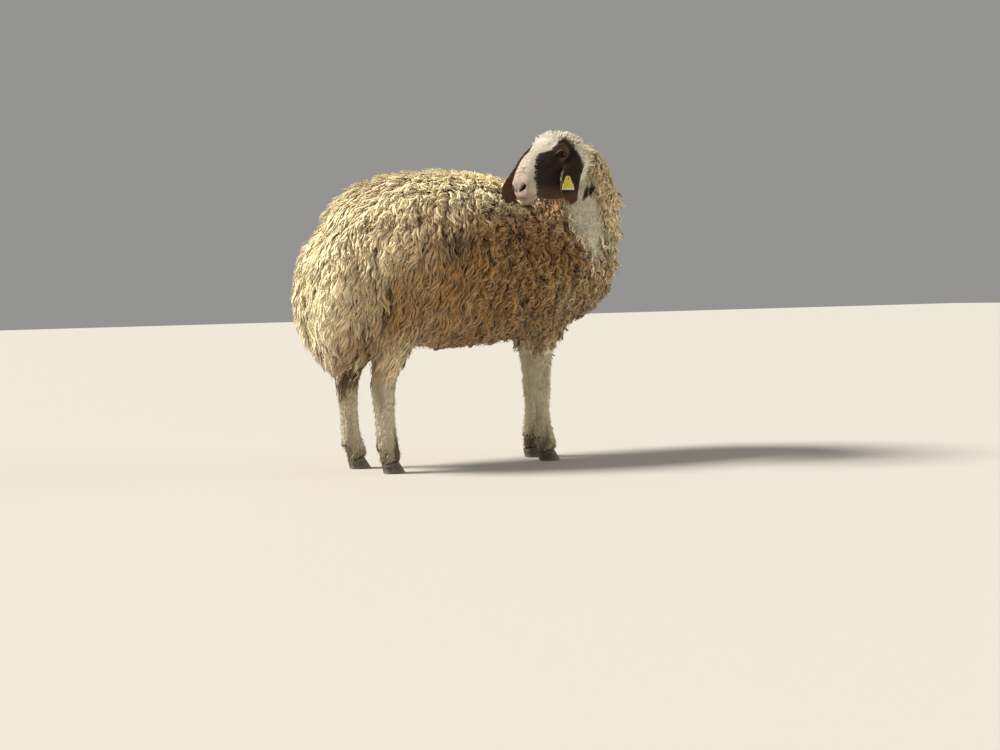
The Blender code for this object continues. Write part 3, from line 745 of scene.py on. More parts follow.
class Ground:  # an outer form with its flow, sampled and followed by the coat
    def __init__(self, nodes, voxel, unwrap):
        form = copyNodes("form", nodes)
        modify(form, "REMESH", mode="VOXEL", voxel_size=voxel)
        mesh = form.data
        writePoints(mesh, relax(readPoints(mesh), readEdges(mesh), 4))
        self.points = readPoints(mesh)
        self.home = homeOf(self.points)
        self.wool = woolAmount(self.points, self.home)
        self.normals = evenNormals(mesh, 3)
        self.flow = self.flowOf(readEdges(mesh), evenNormals(mesh, 8))
        mesh.calc_loop_triangles()
        self.tris = fetch(mesh.loop_triangles, "vertices", 3, np.int64)
        self.tree = BVHTree.FromPolygons(self.points.tolist(), self.tris.tolist())
        a, b, c = (self.points[self.tris[:, k]] for k in range(3))
        self.area = np.linalg.norm(np.cross(b - a, c - a), axis=1) / 2
        self.unwrap = unwrap
        bpy.data.objects.remove(form, do_unlink=True)

    def flowOf(self, edges, normals):
        points = self.points
        down = np.tile(coatFlow["down"], (len(points), 1))
        down[:, 0] -= coatFlow["ridge"] * step(0.70, 0.79, points[:, 2]) * isOn(self.home, "trunk")
        down = np.where(isOn(self.home, "head")[:, None], coatFlow["back"] @ headTurn.T, down)
        for axis in (0, 1):
            down[:, axis] += coatFlow["wander"] * lumps(points, coatFlow["size"], 21 + axis)
        flow = unit(down - normals * (down * normals).sum(1)[:, None])
        flow = unit(relax(flow, edges, 10))
        return flow - normals * (flow * normals).sum(1)[:, None]

    def scatter(self, count, density):  # roots spread evenly by area times density
        total = np.cumsum(self.area * density[self.tris].mean(1))
        at = (np.arange(count) + dice.random(count)) / count * total[-1]
        face = np.searchsorted(total, at)
        u, v = dice.random(count), dice.random(count)
        swap = u + v > 1
        u[swap], v[swap] = 1 - u[swap], 1 - v[swap]
        a, b, c = (self.points[self.tris[face, k]] for k in range(3))
        return a + (b - a) * u[:, None] + (c - a) * v[:, None]

    def follow(self, roots, length, rings, swing, curl=0.0):  # walks each root along the flow
        spots, facing = np.empty((2, len(roots), rings + 1, 3))
        now, face = nearest(self.tree, roots)
        for k in range(rings + 1):
            n, way = (values[self.tris[face]].mean(1) for values in (self.normals, self.flow))
            n = unit(n)
            spots[:, k], facing[:, k] = now, n
            if k < rings:
                turn = swing + curl * (k / rings) ** 1.5
                way = way * np.cos(turn)[:, None] + np.cross(n, way) * np.sin(turn)[:, None]
                now, face = nearest(self.tree, now + unit(way) * (length / rings)[:, None])
        return spots, facing


# locks
def makeLock(taper):  # one lock, one unit long: a three-sided tube drawn out ring by ring to a closed tip
    deselectAll()
    bpy.ops.mesh.primitive_circle_add(vertices=3, radius=1.0, fill_type="NGON", location=(0, 0, 0))
    obj, rings = bpy.context.object, len(taper)

    def drawOut():
        for k in range(1, rings + 1):
            bpy.ops.mesh.extrude_region_move(TRANSFORM_OT_translate={"value": (0, 0, 1 / rings)})
            if k < rings:
                size = taper[k] / taper[k - 1]
                bpy.ops.transform.resize(value=(size, size, 1))
        bpy.ops.mesh.merge(type="CENTER")
        bpy.ops.mesh.select_all(action="SELECT")
        bpy.ops.mesh.normals_make_consistent(inside=False)

    editAll(drawOut)
    faces = [list(polygon.vertices) for polygon in obj.data.polygons]
    lock = {"points": readPoints(obj.data), "faces": faces, "rings": rings}
    bpy.data.objects.remove(obj, do_unlink=True)
    return lock


def lockCorners(lock):  # each corner's place round the lock and along it, for its two UV maps
    corners = []
    for face in lock["faces"]:
        turns = []
        for v in face:
            x, y, z = lock["points"][v]
            turns.append((math.atan2(x, y) / (2 * math.pi)) % 1.0 if math.hypot(x, y) > 1e-6 else None)
        known = [t for t in turns if t is not None]
        if max(known) - min(known) > 0.5:
            turns = [None if t is None else (t + 1 if t < 0.5 else t) for t in turns]
            known = [t for t in turns if t is not None]
        middle = sum(known) / len(known)
        corners += [(middle if t is None else t, lock["points"][v][2]) for t, v in zip(turns, face)]
    return np.array(corners) * [0.75, 1.0]


patchSize = 0.003  # how much of the unwrap one tuft's patch takes up


def bendLocks(name, slot, material, ground, lock, roots, paths, ups, widths, flat, twist, roll, shade,
              tint):  # one lock for each root, laid along its path, all in one mesh
    count, rings, shape = len(paths), lock["rings"], lock["points"]
    ahead = np.empty_like(paths)
    ahead[:, 1:-1] = paths[:, 2:] - paths[:, :-2]
    ahead[:, 0], ahead[:, -1] = paths[:, 1] - paths[:, 0], paths[:, -1] - paths[:, -2]
    ahead = unit(ahead)
    side = unit(np.cross(ahead, ups))
    top = np.cross(side, ahead)
    ring = np.clip(np.rint(shape[:, 2] * rings).astype(int), 0, rings)
    turn = twist[:, None] * (ring / rings)[None, :] + roll[:, None]
    x = shape[None, :, 0] * np.cos(turn) - shape[None, :, 1] * np.sin(turn)
    y = shape[None, :, 0] * np.sin(turn) + shape[None, :, 1] * np.cos(turn)
    half = widths[:, None, None] * 0.5
    points = paths[:, ring] + side[:, ring] * (x[..., None] * half)
    points += top[:, ring] * (y[..., None] * half * flat[:, None, None])

    per = len(shape)
    corners = np.concatenate(lock["faces"])
    sizes = np.array([len(f) for f in lock["faces"]])
    starts = np.concatenate([[0], np.cumsum(sizes)[:-1]])
    mesh = bpy.data.meshes.new(name)
    mesh.vertices.add(count * per)
    mesh.vertices.foreach_set("co", points.reshape(-1))
    for items, key, once, jump in ((mesh.loops, "vertex_index", corners, per),
                                   (mesh.polygons, "loop_start", starts, len(corners))):
        items.add(count * len(once))
        items.foreach_set(key, (once[None, :] + np.arange(count)[:, None] * jump).ravel().astype(np.int32))
    mesh.update(calc_edges=True)
    mesh.shade_smooth()
    corner = lockCorners(lock)[None]
    patch = np.clip(ground.unwrap(roots)[:, None, :] + (corner - 0.5) * patchSize, 0, 1)
    strand = corner + columns(shade * 37.0, shade * 91.0)[:, None, :]  # no two locks have the same fibres
    for key, uv in (("OFBake", patch), ("strand", strand)):
        mesh.uv_layers.new(name=key).data.foreach_set("uv", uv.reshape(-1).astype(np.float32))
    marksA, marksB, _ = marksAt(roots, homeOf(roots))
    tones = columns(np.repeat(shade, per), np.tile(ring / rings, count), np.repeat(tint, per))
    writeMarks(mesh, {"marksA": np.repeat(marksA, per, axis=0), "marksB": np.repeat(marksB, per, axis=0),
                      "lockTone": tones})
    mesh.materials.append(material)
    mesh.validate()
    obj = newObject(name, mesh)
    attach(obj, "root")
    print(name + ":", count, "locks,", sum(s - 2 for s in sizes) * count, "triangles")


# how the fleece grows, place by place: centre, reach, length, width, wave, gather, loft
fleeceZones = {
    "rump": ((-0.36, 0.02, 0.61), 0.17, 0.084, 0.0090, 0.0040, 0.40, 0.009),
    "tail": ((-0.43, 0.05, 0.44), 0.13, 0.090, 0.0095, 0.0042, 0.42, 0.009),
    "thigh": ((-0.26, 0.05, 0.43), 0.16, 0.076, 0.0085, 0.0044, 0.45, 0.006),
    "back": ((-0.05, 0.05, 0.79), 0.22, 0.052, 0.0078, 0.0040, 0.38, 0.013),
    "flank": ((-0.05, 0.05, 0.53), 0.20, 0.066, 0.0082, 0.0050, 0.56, 0.006),
    "shoulder": ((0.18, 0.05, 0.59), 0.18, 0.056, 0.0078, 0.0060, 0.66, 0.009),
    "chest": ((0.28, 0.02, 0.41), 0.13, 0.056, 0.0080, 0.0056, 0.64, 0.011),
    "mane": ((0.36, -0.05, 0.67), 0.15, 0.056, 0.0084, 0.0054, 0.72, 0.018),
    "belly": ((0.0, 0.06, 0.33), 0.16, 0.056, 0.0084, 0.0050, 0.60, 0.010),
}
fleece = {"locks": 21500, "flat": (0.20, 0.20), "clump": 0.026, "twist": 1.2, "roll": 0.8,
          "bend": (0.020, 0.030, 0.012), "under": 0.22, "grip": 0.85,
          "taper": [0.75, 0.95, 1.0, 1.0, 0.95, 0.85, 0.68, 0.45]}
# how far locks turn from the flow, in degrees: where the fleece is smooth, and what tangling adds
fleeceTurns = {"drift": (16, 22), "clump": (16, 44), "curl": (24, 120), "own": (12, 0)}
# how deep a lock lies under the coat's own surface
fleeceLay = {"even": 0.0030, "chance": 0.0055, "clump": 0.006, "rolling": 0.0035, "crease": 0.018,
             "round": 0.0100, "lower": 0.0050, "least": 0.0006, "root": 0.002}
# how light a lock is: chance adds random tone; painted light brightens the smooth rump and back and the
# neck's top; painted shade darkens the furrows between clumps, the low locks and the crease
fleeceShade = {"even": 0.60, "chance": 0.55, "smooth": 0.34, "neckTop": 0.9, "furrow": 2.6, "lower": 1.1,
               "crease": 2.2}
# each piece takes what those before it leave, as far as this x and this y
fleecePieces = {
    "fleece_tail": (-0.335, math.inf),
    "fleece_rump_right": (-0.17, 0.07), "fleece_rump_left": (-0.17, math.inf),
    "fleece_flank_right": (0.03, 0.07), "fleece_flank_left": (0.03, math.inf),
    "fleece_shoulder_right": (0.22, 0.07), "fleece_shoulder_left": (0.22, math.inf),
    "fleece_neck_right": (math.inf, 0.0), "fleece_chest": (math.inf, math.inf),
}


def waved(spots, facing, depth, swell, turns, up):  # sinks paths to their depth and swings them to and fro
    side = np.cross(unit(np.gradient(spots, axis=1)), facing)
    spots = spots - facing * depth[..., None] + side * (swell * np.sin(turns))[..., None]
    return spots + facing * (swell * up * np.cos(turns))[..., None]


def clumpsOf(roots):  # one leading lock in each cell of the fleece, and which of them each lock follows
    leaders = {}
    cells = np.floor((roots + lumps(roots, 0.01, 31)[:, None] * 0.004) / fleece["clump"]).astype(int)
    for i, cell in enumerate(map(tuple, cells.tolist())):
        leaders.setdefault(cell, i)
    leaders = np.array(list(leaders.values()))
    finder = KDTree(len(leaders))
    for k, i in enumerate(leaders.tolist()):
        finder.insert(roots[i], k)
    finder.balance()
    return leaders, np.array([finder.find(p)[1] for p in roots.tolist()])


def turned(key, tangle):
    even, more = fleeceTurns[key]
    return np.radians(even + more * tangle)


def makeFleece(ground):
    count, rings = fleece["locks"] // thinOut, len(fleece["taper"])
    roots = ground.scatter(count, (ground.wool > 0.25) * (1 + 0.25 * step(0.1, 0.3, ground.points[:, 0])))
    length, width, wave, gather, loft = zoneMean(roots, fleeceZones, 1.0, 1e-9)
    along = np.linspace(0, 1, rings + 1)[None, :]
    x, _, z = roots.T
    tangle = step(-0.16, 0.12, x)  # smooth over the rump and back, tangled on the shoulder
    tangle *= 1 - 0.8 * step(0.70, 0.78, z) * step(0.24, 0.18, x)
    fold = stripAmount(crease, roots)

    # the leading locks, and the rest drawn in to them
    leaders, group = clumpsOf(roots)
    chance = dice.random((len(leaders), 4))
    led = tangle[leaders]
    leadLength = length[leaders] * (0.85 + 0.35 * chance[:, 0])
    swing = turned("drift", led) * lumps(roots[leaders], 0.03, 33)
    swing += turned("clump", led) * (chance[:, 1] - 0.5)
    curl = turned("curl", led) * (dice.random(len(leaders)) - 0.5)
    leadSpots, leadFacing = ground.follow(roots[leaders], leadLength, rings, swing, curl)
    chance = chance[group]
    ownLength = length * (0.80 + 0.35 * dice.random(count)) * (0.9 + 0.2 * chance[:, 0])
    ownSwing = swing[group] + turned("own", tangle) * dice.normal(size=count)
    spots, facing = ground.follow(roots, ownLength, rings, ownSwing, curl[group])
    free = np.ones(count, dtype=bool)  # nothing hangs over the throat or the brown patch
    for k in (rings // 2, rings * 3 // 4, rings):
        free &= most(stripAmount(throat, spots[:, k]), neckSpot(spots[:, k])) <= 0.6
    apart = np.linalg.norm(spots[:, rings // 2] - leadSpots[group][:, rings // 2], axis=1) / fleece["clump"]
    draw = (gather[:, None] * step(0.0, fleece["grip"], along))[..., None]
    spots = spots + (leadSpots[group] - spots) * draw
    facing = unit(facing + (leadFacing[group] - facing) * draw)

    # how deep each lock lies along its way: from under the skin up to the coat's own surface
    under = np.minimum(coatDepth(roots, homeOf(roots)), coatDepths["fleece"]) + fleeceLay["root"]
    thick = np.clip(under / coatDepths["fleece"], 0.3, 1)
    uneven = 0.5 + 0.5 * tangle
    lay = fleeceLay["even"] + fleeceLay["chance"] * uneven * dice.random(count)
    lay = (lay + fleeceLay["clump"] * uneven * (chance[:, 2] - 0.35)) * thick
    lay = lay + (fleeceLay["rolling"] * lumps(roots, 0.055, 41) + fleeceLay["crease"] * fold) * thick
    lower = dice.random(count) < fleece["under"]  # broad locks low down, closing the gaps between the rest
    furrow = 0.30 + 0.70 * tangle * step(0.75, 0.66, z)
    lay = lay + fleeceLay["round"] * furrow * np.clip(apart, 0, 1) ** 2 * thick
    lay = most(lay + fleeceLay["lower"] * lower * thick, fleeceLay["least"])
    rise = step(0.0, 0.42, along)
    loft = loft * (0.3 + 1.2 * chance[:, 3] ** 1.5) * np.where(lower, 0.1, 1.0) * step(0.84, 0.78, z)
    depth = under[:, None] * (1 - rise) + lay[:, None] * rise - loft[:, None] * step(0.40, 1.0, along)

    # waves along each lock
    bend = fleece["bend"][0] + fleece["bend"][1] * (1 - tangle) + fleece["bend"][2] * chance[:, 1]
    turns = ownLength[:, None] * along / bend[:, None] * fullTurn
    turns += chance[:, 2][:, None] * fullTurn + dice.random(count)[:, None] * 0.9
    spots = waved(spots, facing, depth, wave[:, None] * step(0.1, 0.5, along), turns, 0.6)

    shade = fleeceShade["even"] + fleeceShade["chance"] * dice.random(count)
    # painted shade in the furrows between clumps, on the low locks and in the crease; painted light on the
    # smooth zones and the neck's top
    shade -= furrow * (fleeceShade["furrow"] * np.clip(apart - 0.26, 0, 1) + fleeceShade["lower"] * lower)
    shade += fleeceShade["smooth"] * (1 - tangle) - fleeceShade["crease"] * fold
    shade += fleeceShade["neckTop"] * step(0.70, 0.77, z) * step(-0.05, 0.05, x) * step(0.27, 0.20, x)
    twist = fleece["twist"] * (dice.random(count) - 0.5) * 2
    roll = fleece["roll"] * (0.35 + 0.65 * tangle) * (dice.random(count) - 0.5) * 2
    flat = fleece["flat"][0] + fleece["flat"][1] * tangle
    width = width * (0.7 + 0.5 * dice.random(count)) * (0.75 + 0.25 * thick) * np.where(lower, 2.0, 0.95)
    material = lockMaterial("fleeceWool", 1.0, 0.68, 0.50, 0.40)
    lock = makeLock(fleece["taper"])
    for name, (lastX, lastY) in fleecePieces.items():
        inside = (x < lastX) & (roots[:, 1] < lastY)
        take = inside & free
        free &= ~inside
        bendLocks(name, "wool", material, ground, lock, *(values[take] for values in (
            roots, spots, facing, width, flat, twist, roll, shade, chance[:, 0])))


# short tufts: how deep the root is, how far the tip stands off and sinks, how many lean aside, and
# how light the root is under its painted shade
shortCoats = {
    "crown_tufts": {"count": 4200, "length": 0.018, "width": 0.0036, "root": 0.0100, "tip": 0.0048,
                    "lean": 0.50, "sink": 0.0040, "shade": 0.9, "slot": "face_hair"},
    "face_hair": {"count": 5200, "length": 0.0085, "width": 0.0013, "root": 0.0018, "tip": 0.0006,
                  "lean": 0.16, "slot": "face_hair"},
    "leg_hair": {"count": 6200, "length": 0.0145, "width": 0.0021, "root": 0.0026, "tip": 0.0024,
                 "lean": 0.26, "wool": 0.5, "slot": "white_hair"},
    "throat_hair": {"count": 2200, "length": 0.014, "width": 0.0018, "root": 0.0080, "tip": -0.0062,
                    "lean": 0.14, "shade": 1.0, "slot": "white_hair"},
    "ear_hair": {"count": 2400, "length": 0.0100, "width": 0.0014, "root": 0.0022, "tip": 0.0006,
                 "lean": 0.22, "slot": "brown_hair"},
}
shortLock = {"flat": 0.55, "taper": [0.9, 1.0, 0.62], "overHooves": 0.0022, "drift": 0.5, "tips": (0.2, 2.6)}
fuzz = {"count": 4200, "length": 0.044, "width": 0.0020, "lift": 0.0075, "wave": 0.0045, "bend": 0.020,
        "root": 0.010, "flat": 0.6, "lean": 0.55, "taper": [0.9, 1.0, 0.95, 0.85, 0.7, 0.45]}


def growShort(ground, name, density):
    spec, rings = shortCoats[name], len(shortLock["taper"])
    count = spec["count"] // thinOut
    roots = ground.scatter(count, density)
    low = step(0.065, 0.045, roots[:, 2])  # longer where it hangs over the hooves
    grown = spec["length"] * (0.7 + 0.6 * dice.random(count)) * (1 + low)
    swing = spec["lean"] * dice.normal(size=count) + shortLock["drift"] * lumps(roots, 0.03, 51)
    spots, facing = ground.follow(roots, grown, rings, swing)
    tip = spec["tip"] * (shortLock["tips"][0] + shortLock["tips"][1] * dice.random(count) ** 3)
    tip = tip + shortLock["overHooves"] * low - spec.get("sink", 0.0)
    rise = step(0.0, 1.0, np.linspace(0, 1, rings + 1)[None, :])
    spots = spots - facing * (spec["root"] + (-tip - spec["root"])[:, None] * rise)[..., None]
    shade, tint = dice.random(count), 0.5 + 0.5 * lumps(roots, 0.012, 52)
    width = spec["width"] * (0.7 + 0.6 * dice.random(count))
    material = lockMaterial(name + "_finish", spec.get("wool", 0.0), spec.get("shade", 0.70), 0.3, 0.05)
    flat, twist, roll = np.full(count, shortLock["flat"]), np.zeros(count), fullTurn * dice.random(count)
    bendLocks(name, spec["slot"], material, ground, makeLock(shortLock["taper"]), roots, spots, facing,
              width, flat, twist, roll, shade, tint)


def growFuzz(ground):  # loose fine wisps that soften the fleece's outline
    count, rings = fuzz["count"] // thinOut, len(fuzz["taper"])
    top = step(0.60, 0.76, ground.points[:, 2]) + step(0.25, 0.34, ground.points[:, 0])
    roots = ground.scatter(count, np.where(ground.wool > 0.6, 1.0 + 1.2 * top, 0.0))
    grown = fuzz["length"] * (0.6 + 0.8 * dice.random(count))
    spots, facing = ground.follow(roots, grown, rings, fuzz["lean"] * dice.normal(size=count))
    along = np.linspace(0, 1, rings + 1)[None, :]
    lift = fuzz["lift"] * (0.2 + 1.0 * dice.random(count) ** 1.5)
    depth = fuzz["root"] - (fuzz["root"] + lift)[:, None] * step(0.0, 0.9, along)
    turns = grown[:, None] * along / fuzz["bend"] * fullTurn + fullTurn * dice.random(count)[:, None]
    swell = fuzz["wave"] * step(0.1, 0.7, along) * (0.4 + 0.8 * dice.random(count)[:, None])
    spots = waved(spots, facing, depth, swell, turns, 0.4)
    shade, tint = dice.random(count), dice.random(count)
    width = fuzz["width"] * (0.7 + 0.6 * dice.random(count))
    material = lockMaterial("fleece_wisps_finish", 1.0, 0.85, 0.25, 0.3)
    flat = np.full(count, fuzz["flat"])
    twist, roll = 3 * dice.normal(size=count), fullTurn * dice.random(count)
    bendLocks("fleece_wisps", "wool", material, ground, makeLock(fuzz["taper"]), roots, spots, facing,
              width, flat, twist, roll, shade, tint)


# eyes
eyeball = {"bulge": 0.0010, "iris": 0.80, "pupilWide": 0.52, "pupilTall": 0.20,
           "irisColours": ((0.007, 0.004, 0.003, 1), (0.022, 0.011, 0.006, 1)),
           "pupil": (0.003, 0.003, 0.004, 1), "rim": (0.006, 0.004, 0.003, 1),
           "white": (0.03, 0.018, 0.012, 1)}


def eyeMaterial(name):
    material, nodes = newMaterial(name)
    gaze, iris = nodes.read("gaze"), eyeball["iris"]
    a, b, r = nodes.split(gaze)
    wide, high = (nodes.maths("DIVIDE", nodes.maths("SUBTRACT", value, 0.5), eyeball[key] / 2)
                  for value, key in ((a, "pupilWide"), (b, "pupilTall")))
    wide = nodes.maths("POWER", nodes.maths("ABSOLUTE", wide), 4.0)
    slit = nodes.maths("ADD", wide, nodes.maths("POWER", high, 2.0))
    fibres = nodes.noise(gaze, 26.0, 4.0)
    colour = nodes.mix(fibres, *eyeball["irisColours"])
    colour = nodes.mix(nodes.span(slit, 1.15, 0.85), colour, eyeball["pupil"])
    colour = nodes.mix(nodes.span(r, iris - 0.08, iris + 0.04), colour, eyeball["rim"])
    colour = nodes.mix(nodes.span(r, iris + 0.08, iris + 0.19), colour, eyeball["white"])
    nodes.finish(colour, nodes.scaled(fibres, 0.06, 0.05), None,
                 {"Specular IOR Level": 0.08, "Coat Weight": 0.05, "Coat Roughness": 0.02})
    return material


def makeEye(side, name):
    axes = unit(np.array(eyeAxes(side)) @ headTurn.T)
    radius = eyeShape["radius"] * headPose["scale"]
    deselectAll()
    bpy.ops.mesh.primitive_uv_sphere_add(segments=56, ring_count=36, radius=radius, location=(0, 0, 0))
    eye = bpy.context.object
    eye.name = name + "_ball"
    points = readPoints(eye.data)
    tall = points[:, 2] / radius
    points[:, 2] += eyeball["bulge"] * step(0.72, 1.0, tall)  # the cornea stands a little proud
    u, v = points[:, 0] / radius, points[:, 1] / radius
    gaze = columns(0.5 + 0.5 * u, 0.5 + 0.5 * v, np.where(tall > 0, np.hypot(u, v), 1.0))
    turned = axes[[1, 2, 0]]
    writePoints(eye.data, points @ turned + np.array(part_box(name)).mean(0))
    writeMarks(eye.data, {"gaze": gaze})
    if np.linalg.det(turned) < 0:
        eye.data.flip_normals()
    eye.data.materials.append(eyeMaterial(eye.name + "_finish"))
    eye.data.shade_smooth()
    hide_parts(name)
    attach(eye, "root")


# ear tag
tagShape = {"at": (0.087, 0.0882, -0.1145), "turn": -20.0, "thick": 0.0018, "boss": 0.0022,
            "bevel": 0.00045, "rim": (0.0062, 0.0048), "face": (0.56, 0.48, 0.045, 1),
            "worn": (0.64, 0.60, 0.33, 1), "dirt": (0.22, 0.17, 0.03, 1)}
studShape = {"radius": 0.0021, "tall": 0.0012, "bevel": 0.0004,
             "colours": ((0.012, 0.011, 0.010, 1), (0.05, 0.045, 0.035, 1))}


def makeTag():
    tag = copyNodes("tag_panel", ("ear_tag",))
    roundEdges(tag, tagShape["bevel"], 2, 40, 35)
    material, nodes = newMaterial("yellowTag")
    place, low = nodes.place(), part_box("ear_tag")[0][2]
    rim = nodes.span(nodes.height(place), *(low + tall for tall in tagShape["rim"]))
    grime = nodes.noise(place, 160.0, 5.0, 0.65)
    colour = nodes.mix(rim, tagShape["face"], tagShape["worn"])
    colour = nodes.mix(nodes.span(grime, 0.52, 0.75, 0.0, 0.55), colour, tagShape["dirt"])
    nodes.finish(colour, nodes.scaled(grime, 0.3, 0.28), (grime, 0.2, 0.0004))
    tag.data.materials.append(material)
    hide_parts("ear_tag")
    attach(tag, "root")


def makeStud():
    turn = math.radians(tagShape["turn"])
    out = np.array([-math.sin(turn), math.cos(turn), 0.0])
    base = fromHead(np.array(tagShape["at"]) + out * (tagShape["thick"] + tagShape["boss"]))
    outward = unit(headTurn @ out)
    deselectAll()
    bpy.ops.mesh.primitive_cylinder_add(vertices=20, radius=studShape["radius"], depth=studShape["tall"],
                                        location=(0, 0, 0))
    stud = bpy.context.object
    roundEdges(stud, studShape["bevel"], 2, 30, 35)
    stud.rotation_euler = Vector(outward).to_track_quat("Z", "Y").to_euler()
    stud.location = Vector(base + outward * studShape["tall"] * 0.3)
    placeInMesh(stud, "tag_stud")
    material, nodes = newMaterial("studPlastic")
    speck = nodes.noise(None, 900.0, 2.0)
    nodes.finish(nodes.mix(speck, *studShape["colours"]), nodes.scaled(speck, 0.2, 0.35))
    stud.data.materials.append(material)
    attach(stud, "root")


# hooves and dewclaws
hoofShape = {"bevel": 0.0042, "horn": ((0.030, 0.024, 0.020, 1), (0.075, 0.060, 0.047, 1)),
             "dust": (0.25, 0.215, 0.17, 1)}
dewclaw = {"radius": 0.0054, "behind": 0.05, "apart": 0.011, "up": 0.060, "sunk": 0.0034,
           "size": (0.85, 0.95, 1.45), "lean": 28.0}


def hoofMaterial():
    material, nodes = newMaterial("hoofHorn")
    place = nodes.place()
    rings = nodes.add("TexWave", {"Vector": place, "Scale": 55.0, "Distortion": 3.0, "Detail": 2.0,
                                  "Detail Scale": 1.5}, wave_type="BANDS", bands_direction="Z")["Fac"]
    grime = nodes.noise(place, 90.0, 5.0, 0.7)
    dusty = nodes.span(nodes.height(place), 0.014, 0.0, 0.0, 0.6)
    patch = nodes.span(grime, 0.45, 0.70, 0.0, 0.8)
    dirt, raised = nodes.maths("MAXIMUM", dusty, patch), nodes.maths("ADD", rings, grime)
    colour = nodes.mix(dirt, nodes.mix(rings, *hoofShape["horn"]), hoofShape["dust"])
    nodes.finish(colour, nodes.scaled(grime, 0.35, 0.45), (raised, 0.5, 0.0010))
    return material


def addDewclaw(tree, hoof, aim):
    spot, normal, _, _ = tree.find_nearest(Vector(aim))
    deselectAll()
    bpy.ops.mesh.primitive_uv_sphere_add(segments=14, ring_count=9, radius=dewclaw["radius"],
                                         location=(0, 0, 0))
    claw = bpy.context.object
    editAll(lambda: bpy.ops.transform.resize(value=dewclaw["size"]))
    claw.rotation_euler = (0.0, math.radians(dewclaw["lean"]), 0.0)
    claw.location = spot - normal * dewclaw["sunk"]
    placeInMesh(claw, "dewclaw")
    bpy.ops.object.shade_smooth()
    hoof.select_set(True)
    bpy.context.view_layer.objects.active = hoof
    bpy.ops.object.join()


def makeHooves(skin):
    horn = hoofMaterial()
    tree = BVHTree.FromObject(skin, bpy.context.evaluated_depsgraph_get())
    for foot in ("front_left", "front_right", "hind_left", "hind_right"):
        claws = [f"hoof_{foot}_inner", f"hoof_{foot}_outer"]
        hoof = copyNodes("claws_" + foot, claws)
        roundEdges(hoof, hoofShape["bevel"], 3, 38, 60)
        x, y, _ = np.mean([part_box(claw) for claw in claws], axis=(0, 1))
        for side in (1, -1):  # a pair behind the pastern
            addDewclaw(tree, hoof, (x - dewclaw["behind"], y + side * dewclaw["apart"], dewclaw["up"]))
        hoof.data.materials.clear()
        hoof.data.materials.append(horn)
        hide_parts(*claws)
        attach(hoof, "root")
    print("hooves: four pairs of claws, with dewclaws")


# camera, floor and light
cameraAt = {"fromPoll": (-2.0144, -3.5518, -0.408), "yaw": 27.0, "pitch": 2.85, "roll": 1.3, "lens": 55.94,
            "sensor": 36.0}
lights = {
    "key": {"toward": (-0.67, 0.28, 0.69), "power": 5.8, "soft": 18.0, "colour": (1.0, 0.955, 0.88)},
    "fill": {"toward": (0.92, -0.38, 0.06), "power": 2.3, "soft": 60.0, "colour": (1.0, 0.93, 0.80)},
}
studio = {"colour": (0.88, 0.87, 0.84, 1), "power": 0.34, "floor": (0.52, 0.50, 0.46, 1), "across": 60}


def makeStage():
    deselectAll()
    bpy.ops.mesh.primitive_plane_add(size=studio["across"], location=(0, 0, 0))
    floor = bpy.context.object
    placeInMesh(floor, "floor")
    material, nodes = newMaterial("paleFloor")
    nodes.finish(studio["floor"], 0.9)
    floor.data.materials.append(material)
    for name, lamp in lights.items():
        deselectAll()
        toward = Vector(lamp["toward"])
        bpy.ops.object.light_add(type="SUN", location=toward * 5)
        made = bpy.context.object
        made.name = name
        made.data.energy, made.data.angle = lamp["power"], math.radians(lamp["soft"])
        made.data.color = lamp["colour"]
        made.rotation_euler = toward.to_track_quat("Z", "Y").to_euler()
    world = bpy.data.worlds.new("studio")
    bpy.context.scene.world = world
    world.use_nodes = True
    sky = world.node_tree.nodes["Background"].inputs
    sky[0].default_value, sky[1].default_value = studio["colour"], studio["power"]


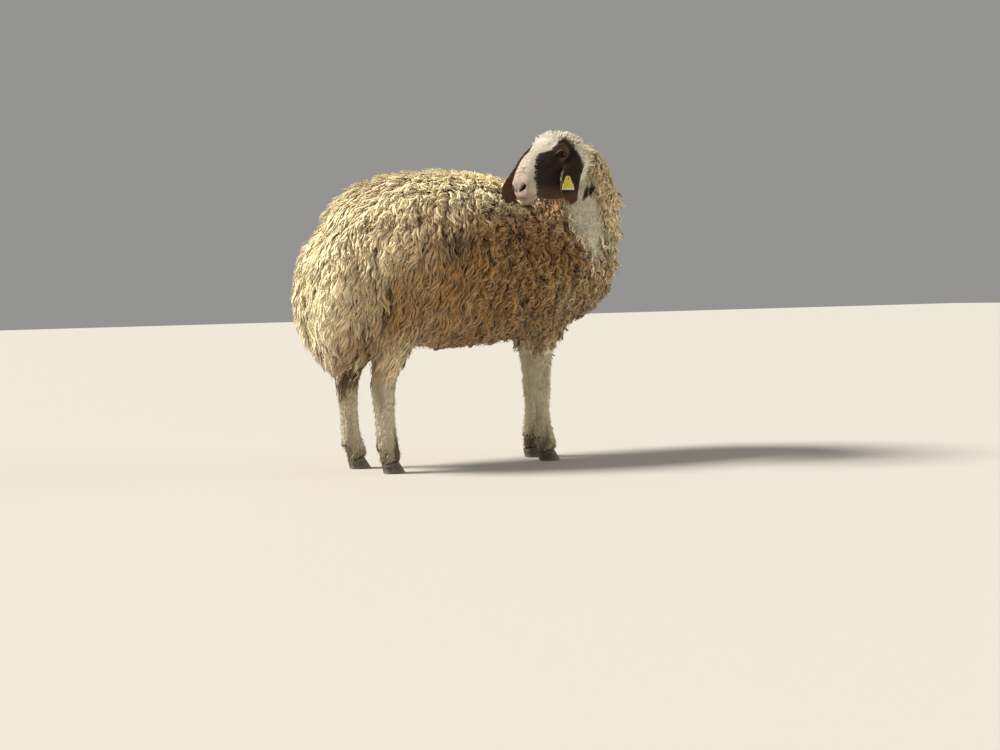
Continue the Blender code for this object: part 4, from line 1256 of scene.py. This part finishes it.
def makeCamera():
    yaw, pitch, roll = (math.radians(cameraAt[k]) for k in ("yaw", "pitch", "roll"))
    ahead = Vector((math.sin(yaw) * math.cos(pitch), math.cos(yaw) * math.cos(pitch), -math.sin(pitch)))
    right = Vector((math.cos(yaw), -math.sin(yaw), 0))
    up = right.cross(ahead)
    right, up = right * math.cos(roll) - up * math.sin(roll), up * math.cos(roll) + right * math.sin(roll)
    bpy.ops.object.camera_add()
    camera = bpy.context.object
    turn = Matrix((right, up, -ahead)).transposed().to_4x4()
    camera.matrix_world = Matrix.Translation(Vector(poll) + Vector(cameraAt["fromPoll"])) @ turn
    camera.data.lens, camera.data.sensor_width = cameraAt["lens"], cameraAt["sensor"]
    bpy.context.scene.camera = camera
    bpy.context.scene.view_settings.view_transform = "Standard"


makeStage()
makeCamera()
print("stage: floor, lights and camera")
skin = makeSkin()
makeEye(1, "eye_left")
makeEye(-1, "eye_right")
makeTag()
makeStud()
makeHooves(skin)
print("eyes and ear tag: done")

unwrap = makeUnwrap(skin)
body = Ground(bodyNames + ("head",) + legNames, 0.006, unwrap)
print("ground: ready")
makeFleece(body)
growFuzz(body)

head = Ground(("head",), 0.0036, unwrap)
x, _, z = toHead(head.points).T
crown = most(step(-0.034, -0.012, z) * step(0.092, 0.066, x),
             step(-0.120, -0.100, z) * step(0.022, 0.012, x))
growShort(head, "crown_tufts", crown)
growShort(head, "face_hair", step(0.184, 0.172, x) * (1 - 0.8 * crown))

height = body.points[:, 2]
wool = most(woolAmount(body.points + [0, 0, 0.04], body.home), body.wool)  # none where wool hangs over it
bareLeg = (1 - wool) * (isOn(body.home, *legNames) | (height < 0.36)) > 0.7
growShort(body, "leg_hair", bareLeg * (height > 0.025) * (1 + step(0.075, 0.05, height)))
strip = most(stripAmount(throat, body.points), neckSpot(body.points)) * isOn(body.home, "trunk", "neck")
growShort(body, "throat_hair", strip)
ears = Ground(earNames, 0.004, unwrap)
growShort(ears, "ear_hair", np.ones(len(ears.points)))
